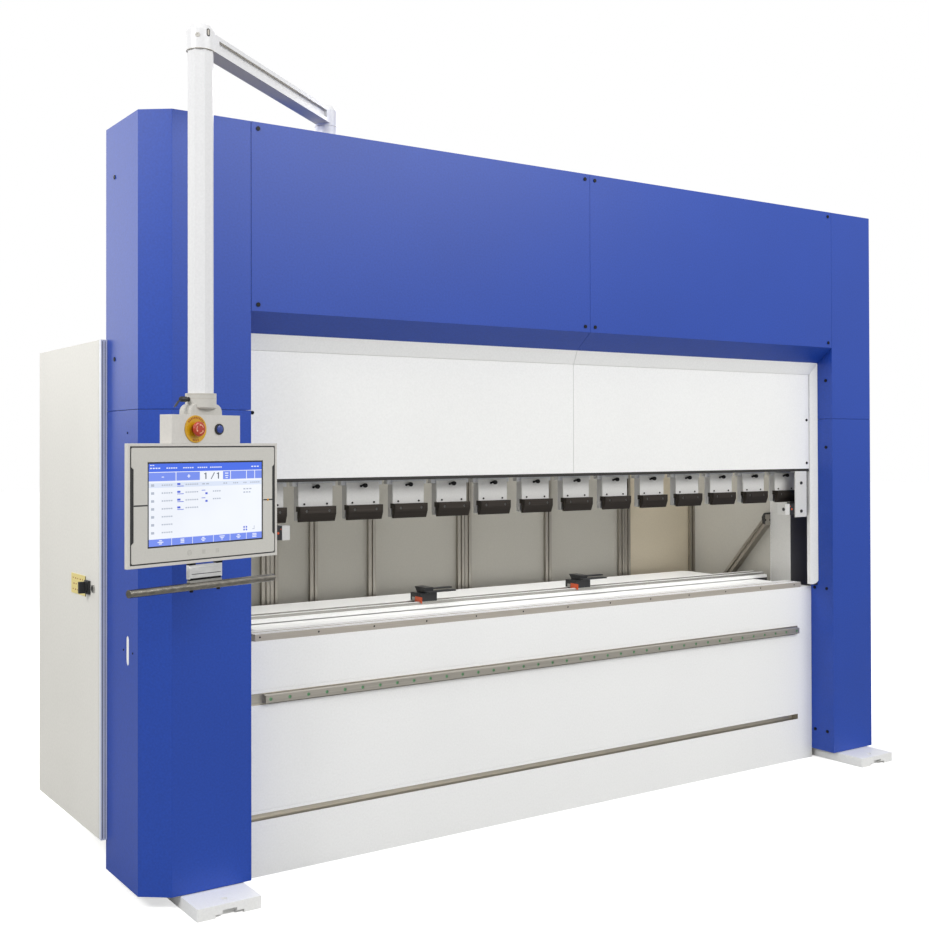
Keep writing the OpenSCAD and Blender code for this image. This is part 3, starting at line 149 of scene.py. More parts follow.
blue_coat = powder_coat("blue_powder_coat", "1944A8", 0.4, speck=0.09, grain_depth_mm=0.2)
white_coat = powder_coat("white_powder_coat", "F8F8F6", 0.4, grain_depth_mm=0.06, spread=0.01)
cabinet_coat = powder_coat("cabinet_powder_coat", "E8E6DF", 0.5, grain_mm=3.5, grain_depth_mm=0.25, spread=0.02)
guard_coat = powder_coat("guard_sheet_coat", "BAB7AE", 0.45, grain_depth_mm=0.06, spread=0.02)
frame_coat = powder_coat("frame_paint", "D4D3CF", 0.45, grain_depth_mm=0.08, spread=0.02)
frame_shade_grey = powder_coat("painted_shade_frame_grey", "6E6D6C", 0.5, grain_depth_mm=0.08, spread=0.03)
housing_coat = powder_coat("pendant_housing_coat", "D3D0CA", 0.42, grain_depth_mm=0.05, spread=0.01)
dark_coat = powder_coat("dark_machine_paint", "2B2C2E", 0.5, grain_depth_mm=0.1, spread=0.03)
pole_coat = powder_coat("white_pole_coat", "E6E6E7", 0.35, grain_depth_mm=0.04, spread=0.01)
bezel_coat = powder_coat("bezel_coat", "CFCDC6", 0.45, grain_mm=1.5, grain_depth_mm=0.04, spread=0.01)
bracket_coat = powder_coat("bracket_coat", "DDDCD8", 0.42, grain_depth_mm=0.05, spread=0.01)
plate_enamel = powder_coat("white_plate_enamel", "E4E3E0", 0.35, grain_depth_mm=0.03, spread=0.01)
beige_coat = powder_coat("beige_guard_coat", "D9CEB8", 0.45, grain_depth_mm=0.06, spread=0.02)
cuff_coat = powder_coat("grey_cuff_coat", "C9C6BF", 0.42, grain_depth_mm=0.04, spread=0.01)
tray_coat = powder_coat("cable_tray_coat", "BDB7AB", 0.5, grain_depth_mm=0.04, spread=0.02)
strip_with_painted_reflection = powder_coat("edge_strip_painted_reflection", "E6E9F0", 0.3, grain_depth_mm=0.03, spread=0.01)
soffit_shade_coat = powder_coat("shaded_blue_powder_coat", "16307A", 0.45, speck=0.09, grain_depth_mm=0.2)
print("powder coats: 17")

# %% [markdown]
# The table is one heavy plate. It is painted white, but where the machine shop ran a
# cutter over it the steel stays bare: the seat of the upper rail and the long slot lower
# down. The shader finds them by their height, and takes only what lies behind the front
# face. The ends and the back lie behind it too, so they carry the same bands, and a
# third, wider one that the front doesn't have.

# %% White table with bare bands
def bare_bands(name, paint_hex, steel_hex, depth, *bands):
    """White paint, with bare steel behind a depth inside bands of (middle height, half height)."""
    material = powder_coat(name, paint_hex, 0.4, grain_depth_mm=0.06, spread=0.01)
    tree = material.node_tree
    shader = tree.nodes["Principled BSDF"]
    paint = shader.inputs["Base Color"].links[0].from_socket
    place = add(tree, "ShaderNodeTexCoord").outputs["Object"]
    split = add(tree, "ShaderNodeSeparateXYZ", {0: place})
    bare = None
    for middle, half_height in bands:
        level = add(tree, "ShaderNodeMath", {0: split.outputs["Z"], 1: middle, 2: half_height}, operation="COMPARE")
        inside = add(tree, "ShaderNodeMath", {0: split.outputs["Y"], 1: depth}, operation="GREATER_THAN")
        band = add(tree, "ShaderNodeMath", {0: level.outputs[0], 1: inside.outputs[0]}, operation="MULTIPLY").outputs[0]
        bare = band if bare is None else add(tree, "ShaderNodeMath", {0: bare, 1: band}, operation="MAXIMUM").outputs[0]
    squeezed = add(tree, "ShaderNodeMapping", {"Vector": place, "Scale": (1.5, 300, 300)})
    lines = add(tree, "ShaderNodeTexNoise", {"Vector": squeezed.outputs[0], "Scale": 1.0, "Detail": 4.0})
    shade = add(tree, "ShaderNodeMapRange", {"Value": lines.outputs["Fac"], "To Min": 0.75, "To Max": 1.25})
    steel = add(tree, "ShaderNodeVectorMath", {0: linear(steel_hex)[:3], "Scale": shade.outputs[0]}, operation="SCALE")
    mixed = add(tree, "ShaderNodeMix", {"Factor": bare, 6: paint, 7: steel.outputs[0]}, data_type="RGBA")
    tree.links.new(mixed.outputs[2], shader.inputs["Base Color"])
    tree.links.new(bare, shader.inputs["Metallic"])
    return material


front_face_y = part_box("lower_beam")[0].y
cut_from = front_face_y + 0.0006
rail_seat, long_slot, rear_band = (0.670, 0.0222), (0.224, 0.0132), (0.76, 0.05)
table_coat = bare_bands("white_table_coat", "FBFBFA", "BDB8AE", cut_from, rail_seat, long_slot, rear_band)
print("table front at y =", round(front_face_y, 4))

# %% [markdown]
# ## Ground steel and anodised aluminium
# Rails and the die seat are steel, ground along their length, so the scratches run one
# way and smear reflections across them. The scratches are stretched noise, a few
# hundredths of a millimetre deep. The extruded profiles are anodised: paler, with soft
# extrusion lines and a satin sheen. Both are metals, so their colour is their reflection.

# %% Metals
def brushed(name, hex_code, roughness, line_mm=1.2, along="X", depth_mm=0.03, spread=0.12):
    material, tree, shader = new_material(name)
    place = add(tree, "ShaderNodeTexCoord").outputs["Object"]
    across = 1000 / line_mm / 3
    stretch = tuple(1.5 if axis == along else across for axis in "XYZ")
    squeezed = add(tree, "ShaderNodeMapping", {"Vector": place, "Scale": stretch}).outputs[0]
    lines = add(tree, "ShaderNodeTexNoise", {"Vector": squeezed, "Scale": 1.0, "Detail": 4.0}).outputs["Fac"]
    surface(tree, shader, hex_code, lighter_and_darker(tree, lines, spread), lines, depth_mm)
    uneven = {"Value": lines, "To Min": roughness * 0.8, "To Max": roughness * 1.2}
    rough = add(tree, "ShaderNodeMapRange", uneven)
    tree.links.new(rough.outputs[0], shader.inputs["Roughness"])
    shader.inputs["Metallic"].default_value = 1.0
    return material


ground_steel = brushed("ground_steel", "B4B4B1", 0.34)
turned_steel = brushed("turned_steel", "A9A9A6", 0.3, along="Z")
stainless_tube = brushed("stainless_tube", "86827A", 0.24, line_mm=2.5, spread=0.3)
anodised = brushed("anodised_aluminium", "ACA79E", 0.42, along="Z", line_mm=3.0, spread=0.05)
black_oxide = brushed("black_oxide_steel", "2A2A2B", 0.48, spread=0.25)
brown_oxide = brushed("brown_oxide_steel", "45403C", 0.5, spread=0.2)
nickel_plate = brushed("nickel_plated_steel", "D2D3D6", 0.45, along="Z", spread=0.06)
rail_steel = brushed("ground_rail_steel", "BDB8AE", 0.38, spread=0.08)
milled_x = brushed("milled_steel_plate", "A9A7A2", 0.4)
bracket_zinc = brushed("zinc_plated_sheet", "F4F4F3", 0.3, line_mm=4.0, spread=0.06)
set_screw_steel = brushed("set_screw_steel", "7B7A78", 0.35)
green_passivated = brushed("green_passivated_bolts", "8AB690", 0.4)
print("metals: 12")

# %% [markdown]
# The rail that carries the lower tools is ground flat on its top, which throws the light
# above it back almost white; that near-white is a painted reflection in the top's colour.
# Its front face is warmer and duller. The normal tells the two apart, and both keep only
# a little of the metal's mirror, under a film of oil.

# %% Die rail steel
die_steel = brushed("die_rail_steel", "D6CDC1", 0.36, spread=0.06)
die_tree = die_steel.node_tree
die_shader = die_tree.nodes["Principled BSDF"]
facing_up, front_tone, top_mirror, front_mirror = 0.6, 0.72, 0.15, 0.2
up_part = add(die_tree, "ShaderNodeSeparateXYZ", {0: add(die_tree, "ShaderNodeNewGeometry").outputs["Normal"]})
is_top = add(die_tree, "ShaderNodeMath", {0: up_part.outputs["Z"], 1: facing_up}, operation="GREATER_THAN")
die_tint = die_shader.inputs["Base Color"].links[0].from_socket
dull = add(die_tree, "ShaderNodeVectorMath", {0: die_tint, "Scale": front_tone}, operation="SCALE")
# Faces that look up are painted near white: a painted reflection of the light above.
painted_top_reflection = add(
    die_tree, "ShaderNodeMix", {"Factor": is_top.outputs[0], 6: dull.outputs[0], 7: linear("F4F4F5")}, data_type="RGBA"
)
die_tree.links.new(painted_top_reflection.outputs[2], die_shader.inputs["Base Color"])
mirror = {"Value": is_top.outputs[0], "To Min": front_mirror, "To Max": top_mirror}
oiled = add(die_tree, "ShaderNodeMapRange", mirror)
die_tree.links.new(oiled.outputs[0], die_shader.inputs["Metallic"])
print("die rail: two tones")

# %% [markdown]
# ## Moulded plastics and rubber
# Handles and light guard heads are moulded with an eroded grain that keeps them matt.
# Push buttons are moulded in a polished tool, so they shine. The bump is the grain of
# the mould; polished parts get hardly any.

# %% Plastics
def moulded(name, hex_code, roughness, grain_mm=1.5, depth_mm=0.08, coat=0.0):
    material, tree, shader = new_material(name)
    place = add(tree, "ShaderNodeTexCoord").outputs["Object"]
    fine = {"Vector": place, "Scale": 1000 / grain_mm / 3, "Detail": 2.0}
    grain = add(tree, "ShaderNodeTexNoise", fine).outputs["Fac"]
    surface(tree, shader, hex_code, lighter_and_darker(tree, grain, 0.07), grain, depth_mm)
    shader.inputs["Roughness"].default_value = roughness
    shader.inputs["IOR"].default_value = 1.5
    shader.inputs["Coat Weight"].default_value = coat
    return material


black_plastic = moulded("moulded_black_plastic", "232324", 0.5)
black_rubber = moulded("black_rubber", "2E2C2A", 0.75, grain_mm=2.5, depth_mm=0.2)
yellow_plastic = moulded("yellow_gloss_plastic", "D2A010", 0.3, depth_mm=0.01, coat=0.3)
red_plastic = moulded("red_gloss_plastic", "B4381C", 0.3, depth_mm=0.01, coat=0.3)
pale_yellow = moulded("pale_yellow_plastic", "EBD98C", 0.4, depth_mm=0.02)
blue_plastic = moulded("blue_gloss_plastic", "27408F", 0.25, depth_mm=0.01, coat=0.4)
orange_label = moulded("orange_label_film", "DD5A2C", 0.4, depth_mm=0.01)
finger_black = moulded("black_anodised_finger", "1D1E20", 0.38, depth_mm=0.03)
key_print = moulded("grey_key_print", "A9A7A1", 0.5, depth_mm=0.01)
amber_lens = moulded("amber_lens", "E8A21A", 0.3, depth_mm=0.0)
pale_print = moulded("pale_arrow_print", "EBB79A", 0.4, depth_mm=0.01)
rust_print = moulded("rust_red_print", "9C4A18", 0.4, depth_mm=0.01)
print("plastics: 12")

# %% [markdown]
# ## Dressing the CAD nodes
# Real sheet edges and machined corners are never razor sharp: a break of half a
# millimetre to three millimetres catches a thin line of light. Each hard part is copied
# from its CAD node, its flat faces are merged, and its corners get a small bevel. The
# copy then stands for the node. Parts that are too small for this keep the CAD mesh.

# %% Dress a node
sharp_bend = math.radians(35)


def softened(node, material, width_mm, segments=2):
    """A copy of a CAD node with broken edges, which replaces the node."""
    mesh = nodes[node].data.copy()
    for baked in ("custom_normal", "sharp_face", "sharp_edge"):
        if baked in mesh.attributes:
            mesh.attributes.remove(mesh.attributes[baked])
    work = bmesh.new()
    work.from_mesh(mesh)
    bmesh.ops.remove_doubles(work, verts=work.verts, dist=0.01 * MM)
    bmesh.ops.dissolve_limit(work, angle_limit=math.radians(1), verts=work.verts, edges=work.edges)
    work.to_mesh(mesh)
    work.free()
    mesh.materials.clear()
    mesh.materials.append(material)
    mesh.shade_smooth()
    copy = bpy.data.objects.new(node + "_dressed", mesh)
    bpy.context.scene.collection.objects.link(copy)
    bevel = copy.modifiers.new("broken_edges", "BEVEL")
    bevel.width = width_mm * MM
    bevel.segments = segments
    bevel.limit_method = "ANGLE"
    bevel.angle_limit = sharp_bend
    flat = copy.modifiers.new("flat_faces", "WEIGHTED_NORMAL")
    flat.mode = "FACE_AREA"
    flat.weight = 100
    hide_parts(node)
    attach(copy, node_body[node])
    return copy


def second_finish(copy, material, chosen):
    """Gives another finish to the faces that chosen(middle, normal) picks."""
    mesh = copy.data
    mesh.materials.append(material)
    for face in mesh.polygons:
        if chosen(face.center, face.normal):
            face.material_index = len(mesh.materials) - 1


def finish_node(node, material):
    """A CAD node that keeps its own mesh and gets a finish."""
    for slot in nodes[node].material_slots:
        slot.material = material


dressed = {
    "side_frames": (frame_shade_grey, 2), "feet": (white_coat, 2), "die_rail": (die_steel, 0.6),
    "upper_beam": (frame_coat, 2), "roof_panel": (blue_coat, 0.8), "fascia_left": (blue_coat, 1),
    "fascia_right": (blue_coat, 1), "opening_trim": (white_coat, 0.8),
    "column_covers_lower": (blue_coat, 1), "column_covers_upper": (blue_coat, 1),
    "guard_panels": (guard_coat, 0.5), "guard_door_left_sheet": (guard_coat, 0.5),
    "guard_door_right_sheet": (guard_coat, 0.5), "cabinet_body": (cabinet_coat, 0.8),
    "cabinet_drives": (dark_coat, 1.5), "cabinet_door": (cabinet_coat, 0.8), "switch_plate": (pale_yellow, 1),
    "servo_motors": (dark_coat, 1.5), "drive_plates": (dark_coat, 1), "ram_guides": (ground_steel, 0.8),
    "ram_beam": (frame_coat, 1.5), "ram_covers": (white_coat, 0.8), "ram_strip": (black_rubber, 1),
    "clamp_bodies": (nickel_plate, 0.6), "clamp_blocks": (brown_oxide, 0.8),
    "light_guard_brackets": (bracket_coat, 0.8),
    "shelf": (white_coat, 0.8), "gauge_stand": (frame_coat, 1.5), "gauge_trucks": (dark_coat, 1),
    "gauge_beam": (white_coat, 0.8), "button_box": (housing_coat, 2), "screen_housing": (housing_coat, 2.5),
    "arm_base": (pole_coat, 1.5), "pendant_arm": (pole_coat, 4), "pendant_pole": (pole_coat, 1.5),
    "clamp_plates": (plate_enamel, 0.4), "switch_handle": (black_plastic, 2), "estop_disc": (yellow_plastic, 0.8),
}
copies = {node: softened(node, material, width_mm) for node, (material, width_mm) in dressed.items()}

rail_height, cuff_height = 0.008, 0.075
rail_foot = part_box("gauge_beam")[1].z - rail_height
cuff_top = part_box("pendant_pole")[0].z + cuff_height
door_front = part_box("cabinet_door")[0].y
# The side frames are dark grey as painted shade of the cavity between the covers; the faces that look inward keep the
# pale frame paint.
second_finish(copies["side_frames"], frame_coat, lambda at, n: n.x * at.x < -0.5 * abs(at.x))
second_finish(copies["gauge_beam"], milled_x, lambda at, n: at.z > rail_foot and abs(n.z) < 0.5)
second_finish(copies["pendant_pole"], cuff_coat, lambda at, n: at.z < cuff_top)
second_finish(copies["pendant_arm"], tray_coat, lambda at, n: n.z < -0.9)
second_finish(copies["guard_panels"], beige_coat, lambda at, n: at.x > 0 and at.y > 0.7)
# The cabinet's front strip beside the door is white paint with a painted bluish reflection of the column, and is made
# lighter as painted light where it lies in shade.
second_finish(copies["cabinet_body"], strip_with_painted_reflection, lambda at, n: at.y < door_front)
second_finish(copies["switch_plate"], black_plastic, lambda at, n: at.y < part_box("switch_handle")[1].y + 0.02)
# Faces of the fascias that look down get a darker blue: painted shade on the soffit.
for side in ("left", "right"):
    second_finish(copies["fascia_" + side], soffit_shade_coat, lambda at, n: n.z < -0.9)

plain = {
    "lower_beam": table_coat, "front_rail": rail_steel, "front_rail_bolts": green_passivated,
    "black_screws": black_oxide,
    "guard_frame": anodised, "guard_door_left": anodised, "guard_door_right": anodised,
    "door_lock": turned_steel, "drive_belts": black_rubber,
    "screw_left": turned_steel, "screw_right": turned_steel, "motor_pulley_left": turned_steel,
    "motor_pulley_right": turned_steel, "ram_runners": dark_coat,
}
for node, material in plain.items():
    finish_node(node, material)
print("dressed:", len(dressed), "plain:", len(plain))

# %% [markdown]
# ## Tools for new pieces
# Small parts such as buttons, a bezel or a lever are made here, in the same way as in a
# workshop. A turned part is a profile spun about an axis. A cast or folded part is a row
# of outlines skinned one after another. Points are in millimetres in the part's own
# frame, and a matrix puts the part in its place on the machine.

# %% Shape helpers
def skin(work, outlines, place, index=0, around=False):
    """Skins a row of closed outlines with equal numbers of points; around joins the last one to the first."""
    rows = [[work.verts.new(place @ Vector(point)) for point in outline] for outline in outlines]
    count = len(rows[0])
    pairs = list(zip(rows, rows[1:])) + ([(rows[-1], rows[0])] if around else [])
    faces = [
        work.faces.new((a[i], a[(i + 1) % count], b[(i + 1) % count], b[i])) for a, b in pairs for i in range(count)
    ]
    if not around:
        faces += [work.faces.new(rows[0][::-1]), work.faces.new(rows[-1])]
    for face in faces:
        face.material_index = index
        face.smooth = True


def on_circle(radius, angle):
    return radius * math.cos(angle), radius * math.sin(angle)


def spin(work, profile, place, steps=24, index=0, around=False):
    """A turned shape from (radius, height) points along the place's Z axis; around makes it a ring."""
    turns = [math.tau * i / steps for i in range(steps)]
    skin(work, [[(*on_circle(r, t), h) for t in turns] for r, h in profile], place, index, around)


def rounded(x0, x1, z0, z1, radius, y, steps=4):
    """The outline of an upright rounded rectangle at depth y."""
    xa, xb, za, zb = x0 + radius, x1 - radius, z0 + radius, z1 - radius
    corners = ((xb, zb), (xa, zb), (xa, za), (xb, za))
    turns = [math.radians(90 * corner + 90 * step / steps) for corner in range(4) for step in range(steps + 1)]
    return [
        (corners[i // (steps + 1)][0] + radius * math.cos(t), y, corners[i // (steps + 1)][1] + radius * math.sin(t))
        for i, t in enumerate(turns)
    ]


def plate(work, x0, x1, z0, z1, y_back, y_front, radius, place, index=0, edge=0.4):
    """A thin upright plate with rounded corners and a broken front edge."""
    skin(
        work,
        [rounded(x0, x1, z0, z1, radius, y_back), rounded(x0, x1, z0, z1, radius, y_front + edge),
         rounded(x0 + edge, x1 - edge, z0 + edge, z1 - edge, max(radius - edge, 0.1), y_front)],
        place, index,
    )


def facing_front(x, y, z):
    """A place whose Z axis points out of the front."""
    return Matrix.Translation((x, y, z)) @ Matrix.Rotation(math.radians(90), 4, "X")


def piece(name, work, materials, body, stands_for=()):
    """Turns finished mesh work into an object that rides on a body."""
    bmesh.ops.recalc_face_normals(work, faces=work.faces)
    mesh = bpy.data.meshes.new(name)
    work.to_mesh(mesh)
    work.free()
    for material in materials:
        mesh.materials.append(material)
    mesh.set_sharp_from_angle(angle=sharp_bend)
    thing = bpy.data.objects.new(name, mesh)
    bpy.context.scene.collection.objects.link(thing)
    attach(thing, body)
    if stands_for:
        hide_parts(*stands_for)
    return thing


mm_place = Matrix.Scale(MM, 4)


def measured(node, place):
    """Lowest and highest corners of a CAD node in the frame of a place."""
    back = place.inverted()
    points = [back @ vertex.co for vertex in nodes[node].data.vertices]
    return [Vector([pick(p[axis] for p in points) for axis in range(3)]) for pick in (min, max)]


# %% [markdown]
# ## The pendant's frame
# The pole, the button box, the screen and the handle hang on one vertical axis and are
# turned a little towards the operator. The axis comes from the pendant's joint. All
# pendant pieces below are measured from it, in millimetres.

# %% Where the pendant hangs
joints = {joint["name"]: joint for joint in frame["record"]["behaviour"]["joints"]}
axis_x, axis_y, _ = joints["pendant_swivel"]["pos_m"]
to_operator = math.radians(18)
pendant = Matrix.Translation((axis_x, axis_y, 0)) @ Matrix.Rotation(to_operator, 4, "Z") @ mm_place
screen_low, screen_high = measured("screen_housing", pendant)
handle_low, handle_high = measured("screen_handle", pendant)
pole_foot_z = measured("pendant_pole", pendant)[0].z
print("screen housing:", [round(v) for v in screen_high - screen_low], "mm")

# %% [markdown]
# ## Screen
# The panel computer has a cast frame, a flat front bezel with a dark seam round it, two
# ventilation slots at its sides and a sunk glass. The bezel is one outline with notches
# at the slots, skinned round the opening of the glass. A black plate behind it shows
# through the seam and the slots.

# %% Bezel
width = screen_high.x - screen_low.x
height = screen_high.z - screen_low.z
rim, seam = 11.0, 2.4
x1 = width / 2 - rim
z_mid = (screen_low.z + screen_high.z) / 2
z1 = height / 2 - rim
front_y = screen_low.y
glass_x, glass_z, glass_mid = 240.0, 133.5, 5.0
slot_z, slot_x = 112.0, 9.0


def whole(half, middle_x, y):
    """A closed outline: one half of it, then the same half turned half round its middle."""
    return [(px + middle_x, y, z_mid + pz) for px, pz in half + [(-px, -pz) for px, pz in half]]


def bezel_outline(y, inset):
    """The notched outline of the bezel."""
    x, z = x1 - seam - inset, z1 - seam - inset
    top = [(x, slot_z + 8), (x, z - 4), (x - 4, z), (glass_x, z), (0, z)]
    top += [(-glass_x, z), (-x + 4, z), (-x, z - 4), (-x, slot_z + 8)]
    return whole(top + [(-x + slot_x, notch_z) for notch_z in (slot_z, 0, -slot_z)], 0, y)


def glass_outline(y, grow):
    """The opening of the glass, with one point for each point of the bezel's outline."""
    gx, gz = glass_x + grow, glass_z + grow
    top = [(gx, gz * 0.6), (gx, gz * 0.9), (gx, gz), (gx * 0.6, gz), (0, gz)]
    top += [(-gx * 0.6, gz), (-gx, gz), (-gx, gz * 0.9), (-gx, gz * 0.6)]
    return whole(top + [(-gx, gz * 0.4), (-gx, 0), (-gx, -gz * 0.4)], glass_mid, y)


work = bmesh.new()
skin(
    work,
    [bezel_outline(front_y + 2.9, 0), bezel_outline(front_y + 0.5, 0), bezel_outline(front_y - 0.1, 0.6),
     glass_outline(front_y - 0.1, 1.0), glass_outline(front_y + 0.9, 0), glass_outline(front_y + 2.9, 0)],
    pendant, around=True,
)
piece("screen_bezel", work, [bezel_coat], "pendant")

work = bmesh.new()
lip, past_glass = 9.2, 0.5
plate(
    work, -width / 2 + lip, width / 2 - lip, z_mid - height / 2 + lip, z_mid + height / 2 - lip,
    front_y + 3.0, front_y + 2.2, 3, pendant,
)
plate(
    work, glass_mid - glass_x - past_glass, glass_mid + glass_x + past_glass,
    z_mid - glass_z - past_glass, z_mid + glass_z + past_glass, front_y + 4.9, front_y + 2.0, 1, pendant,
)
for side in (-1, 1):
    ends = sorted((side * (glass_x + 1) + glass_mid, side * (x1 - seam - slot_x)))
    plate(work, ends[0], ends[1], z_mid - 2.2, z_mid + 2.2, front_y + 1, front_y - 0.3, 0.3, pendant, edge=0.1)
piece("screen_backing", work, [black_plastic], "pendant")
print("bezel:", round(2 * x1), "x", round(2 * z1), "mm")

# %% [markdown]
# ## Picture on the screen
# The display shows a plain work sheet: a blue bar on top, a row of tabs, a table of
# dimmed values and a bar of six buttons. The picture is a mosaic of thin flat tiles
# behind the glass, each with a lit colour, so it stays sharp from any distance. Values
# are drawn as short bars, because nothing on the machine carries real wording.

# %% Lit tiles
def lit(name, hex_code, strength=1.0):
    """Glass with light behind it: black where it is off, glossy, and glowing in one colour."""
    material, tree, shader = new_material(name)
    place = add(tree, "ShaderNodeTexCoord").outputs["Object"]
    haze = add(tree, "ShaderNodeTexNoise", {"Vector": place, "Scale": 6.0, "Detail": 1.0})
    level = add(tree, "ShaderNodeMapRange", {"Value": haze.outputs["Fac"], "To Min": 0.94, "To Max": 1.06})
    glow = add(tree, "ShaderNodeVectorMath", {0: linear(hex_code)[:3], "Scale": level.outputs[0]}, operation="SCALE")
    tree.links.new(glow.outputs[0], shader.inputs["Emission Color"])
    shader.inputs["Emission Strength"].default_value = strength
    shader.inputs["Base Color"].default_value = linear("050505")
    shader.inputs["Roughness"].default_value = 0.25
    shader.inputs["Specular IOR Level"].default_value = 0.3
    return material


tiles = {
    "header": "4A6FE8", "tab": "7A92F0", "line": "DCE4FC", "page": "F2F6FE", "strip": "DDE6F8", "dim": "B4BCCB",
    "ink": "4862D8", "dark": "5F6675", "light": "E9EEFF",
}
tile_names = list(tiles)
tile_materials = [lit("lit_" + name, code) for name, code in tiles.items()]
picture = bmesh.new()
border, panel, mark = 5.0, 0.1, 0.25


def tile(kind, u0, v0, u1, v1, lift=mark):
    """One lit tile; u runs from the left and v from the top of the glass, 0 to 1."""
    xs = [glass_mid + (2 * u - 1) * (glass_x - border) for u in (u0, u1)]
    zs = [z_mid + (1 - 2 * v) * (glass_z - border) for v in (v1, v0)]
    y = front_y + 1.9 - lift
    square = ((xs[0], zs[0]), (xs[1], zs[0]), (xs[1], zs[1]), (xs[0], zs[1]))
    corners = [picture.verts.new(pendant @ Vector((x, y, z))) for x, z in square]
    picture.faces.new(corners).material_index = tile_names.index(kind)


def bar_row(kind, u0, u1, v, parts, size=0.016):
    """A dimmed value, drawn as a row of short bars."""
    for i in range(parts):
        start = u0 + (u1 - u0) * i / parts
        tile(kind, start, v - size / 2, start + (u1 - u0) / parts * 0.7, v + size / 2)


tile("page", 0, 0, 1, 1, 0.0)
tile("header", 0, 0, 1, 0.1, panel)
for u0, u1, parts in (
    (0.01, 0.1, 4), (0.145, 0.24, 5), (0.285, 0.38, 5), (0.41, 0.5, 5), (0.52, 0.63, 6), (0.9, 0.98, 3),
):
    bar_row("light", u0, u1, 0.055, parts, 0.014)
bar_row("light", 0.01, 0.05, 0.02, 2, 0.01)
for u0, u1 in ((0, 0.222), (0.228, 0.43), (0.637, 0.703), (0.709, 0.852), (0.858, 0.93), (0.936, 1)):
    tile("tab", u0, 0.108, u1, 0.212, panel)
for u0, v0, u1, v1 in (
    (0.105, 0.158, 0.125, 0.168), (0.322, 0.152, 0.346, 0.166), (0.330, 0.138, 0.338, 0.180),
    (0.655, 0.128, 0.685, 0.142), (0.655, 0.160, 0.685, 0.172), (0.660, 0.186, 0.680, 0.198),
):
    tile("light", u0, v0, u1, v1)
for u in (0.478, 0.590):
    tile("dark", u, 0.122, u + 0.010, 0.202)
    tile("dark", u - 0.010, 0.130, u, 0.142)
for step in range(6):
    tile("dark", 0.528 + 0.005 * step, 0.189 - 0.0134 * step, 0.536 + 0.005 * step, 0.2035 - 0.0134 * step)
tile("strip", 0, 0.235, 1, 0.292, panel)
row_v = [0.262 + 0.096 * row for row in range(7)]
for v in row_v:
    bar_row("dim", 0.018, 0.055, v, 1, 0.03)
    bar_row("dim", 0.105, 0.2, v, 5)
for v in row_v[:4]:
    tile("ink", 0.235, v - 0.02, 0.262, v + 0.004)
    tile("ink", 0.235, v + 0.014, 0.29, v + 0.022)
    bar_row("dim", 0.305, 0.42, v, 6)
for v in row_v[1:3]:
    tile("ink", 0.445, v - 0.02, 0.478, v - 0.012)
    tile("ink", 0.478, v + 0.012, 0.498, v + 0.036)
    bar_row("dim", 0.545, 0.62, v, 4)
for u0, u1, parts in ((0.45, 0.52, 2), (0.64, 0.68, 2), (0.73, 0.78, 3), (0.825, 0.86, 2), (0.89, 0.985, 5)):
    bar_row("dim", u0, u1, row_v[0], parts)
bar_row("dim", 0.825, 0.91, 0.345, 3)
bar_row("dim", 0.825, 0.9, 0.388, 3)
for i in range(2):
    for k in range(2):
        tile("ink", 0.825 + 0.022 * i, 0.83 + 0.034 * k, 0.838 + 0.022 * i, 0.852 + 0.034 * k)
tile("dim", 0.925, 0.83, 0.93, 0.875)
tile("dim", 0.91, 0.868, 0.93, 0.876)
edges = (0, 0.19, 0.368, 0.552, 0.703, 0.855, 1.004)
for i in range(6):
    tile("tab", edges[i], 0.915, edges[i + 1] - 0.004, 1, panel)
    middle_u = (edges[i] + edges[i + 1]) / 2
    for k in range(3):
        reach_u = (0.024, 0.016, 0.02, 0.024 - 0.009 * k, 0.02, 0.02)[i] * (1 if i % 2 else (0.5, 1, 0.5)[k])
        tile("light", middle_u - reach_u, 0.930 + 0.019 * k, middle_u + reach_u, 0.942 + 0.019 * k)
piece("screen_picture", picture, tile_materials, "pendant")

# %% [markdown]
# Small marks on the bezel: three touch keys are printed rings with a square inside, and
# one amber light shows beside the glass.

# %% Bezel marks
work = bmesh.new()
bottom_key_z = z_mid - (glass_z + z1) / 2
for x, sides in ((-72, 20), (-14, 4), (44, 4)):
    start = math.pi / 4 if sides == 4 else 0
    for outer, inner in ((8.5, 7.6), (4.0, 3.2)):
        turns = [math.tau * i / sides + start for i in range(sides)]
        section = ((outer, 0.2), (outer, -0.35), (inner, -0.35), (inner, 0.2))
        rings = [[(on_circle(r, t), front_y + dy) for t in turns] for r, dy in section]
        skin(work, [[(x + a, y, bottom_key_z + b) for (a, b), y in ring] for ring in rings], pendant, around=True)
spin(work, [(4.0, 0), (4.0, 0.6), (2.6, 1.3), (0.3, 1.5)], pendant @ facing_front(glass_x + 27, front_y, z_mid), 16, 1)
piece("bezel_marks", work, [key_print, amber_lens], "pendant")

# %% [markdown]
# ## Handle under the screen
# A round stainless bar hangs from a bent bracket. Two dark clamps hold the bracket to
# the frame of the screen, and two cap screws hold the bar. The bar is turned, with
# rounded ends; the bracket is two bent sheets with a ribbed plate between them.

# %% Handle and bracket
work = bmesh.new()
radius = 13.0
bar_z = handle_low.z + radius
bar_y = -20.0
half_bar = (handle_high.x - handle_low.x) / 2
along_bar = pendant @ Matrix.Translation((0, bar_y, bar_z)) @ Matrix.Rotation(math.radians(90), 4, "Y")
spin(
    work,
    [(radius - 0.5, -half_bar), (radius, -half_bar + 0.5), (radius, half_bar - 0.5), (radius - 0.5, half_bar)],
    along_bar, 32,
)
piece("handle_bar", work, [stainless_tube], "pendant", ["screen_handle"])

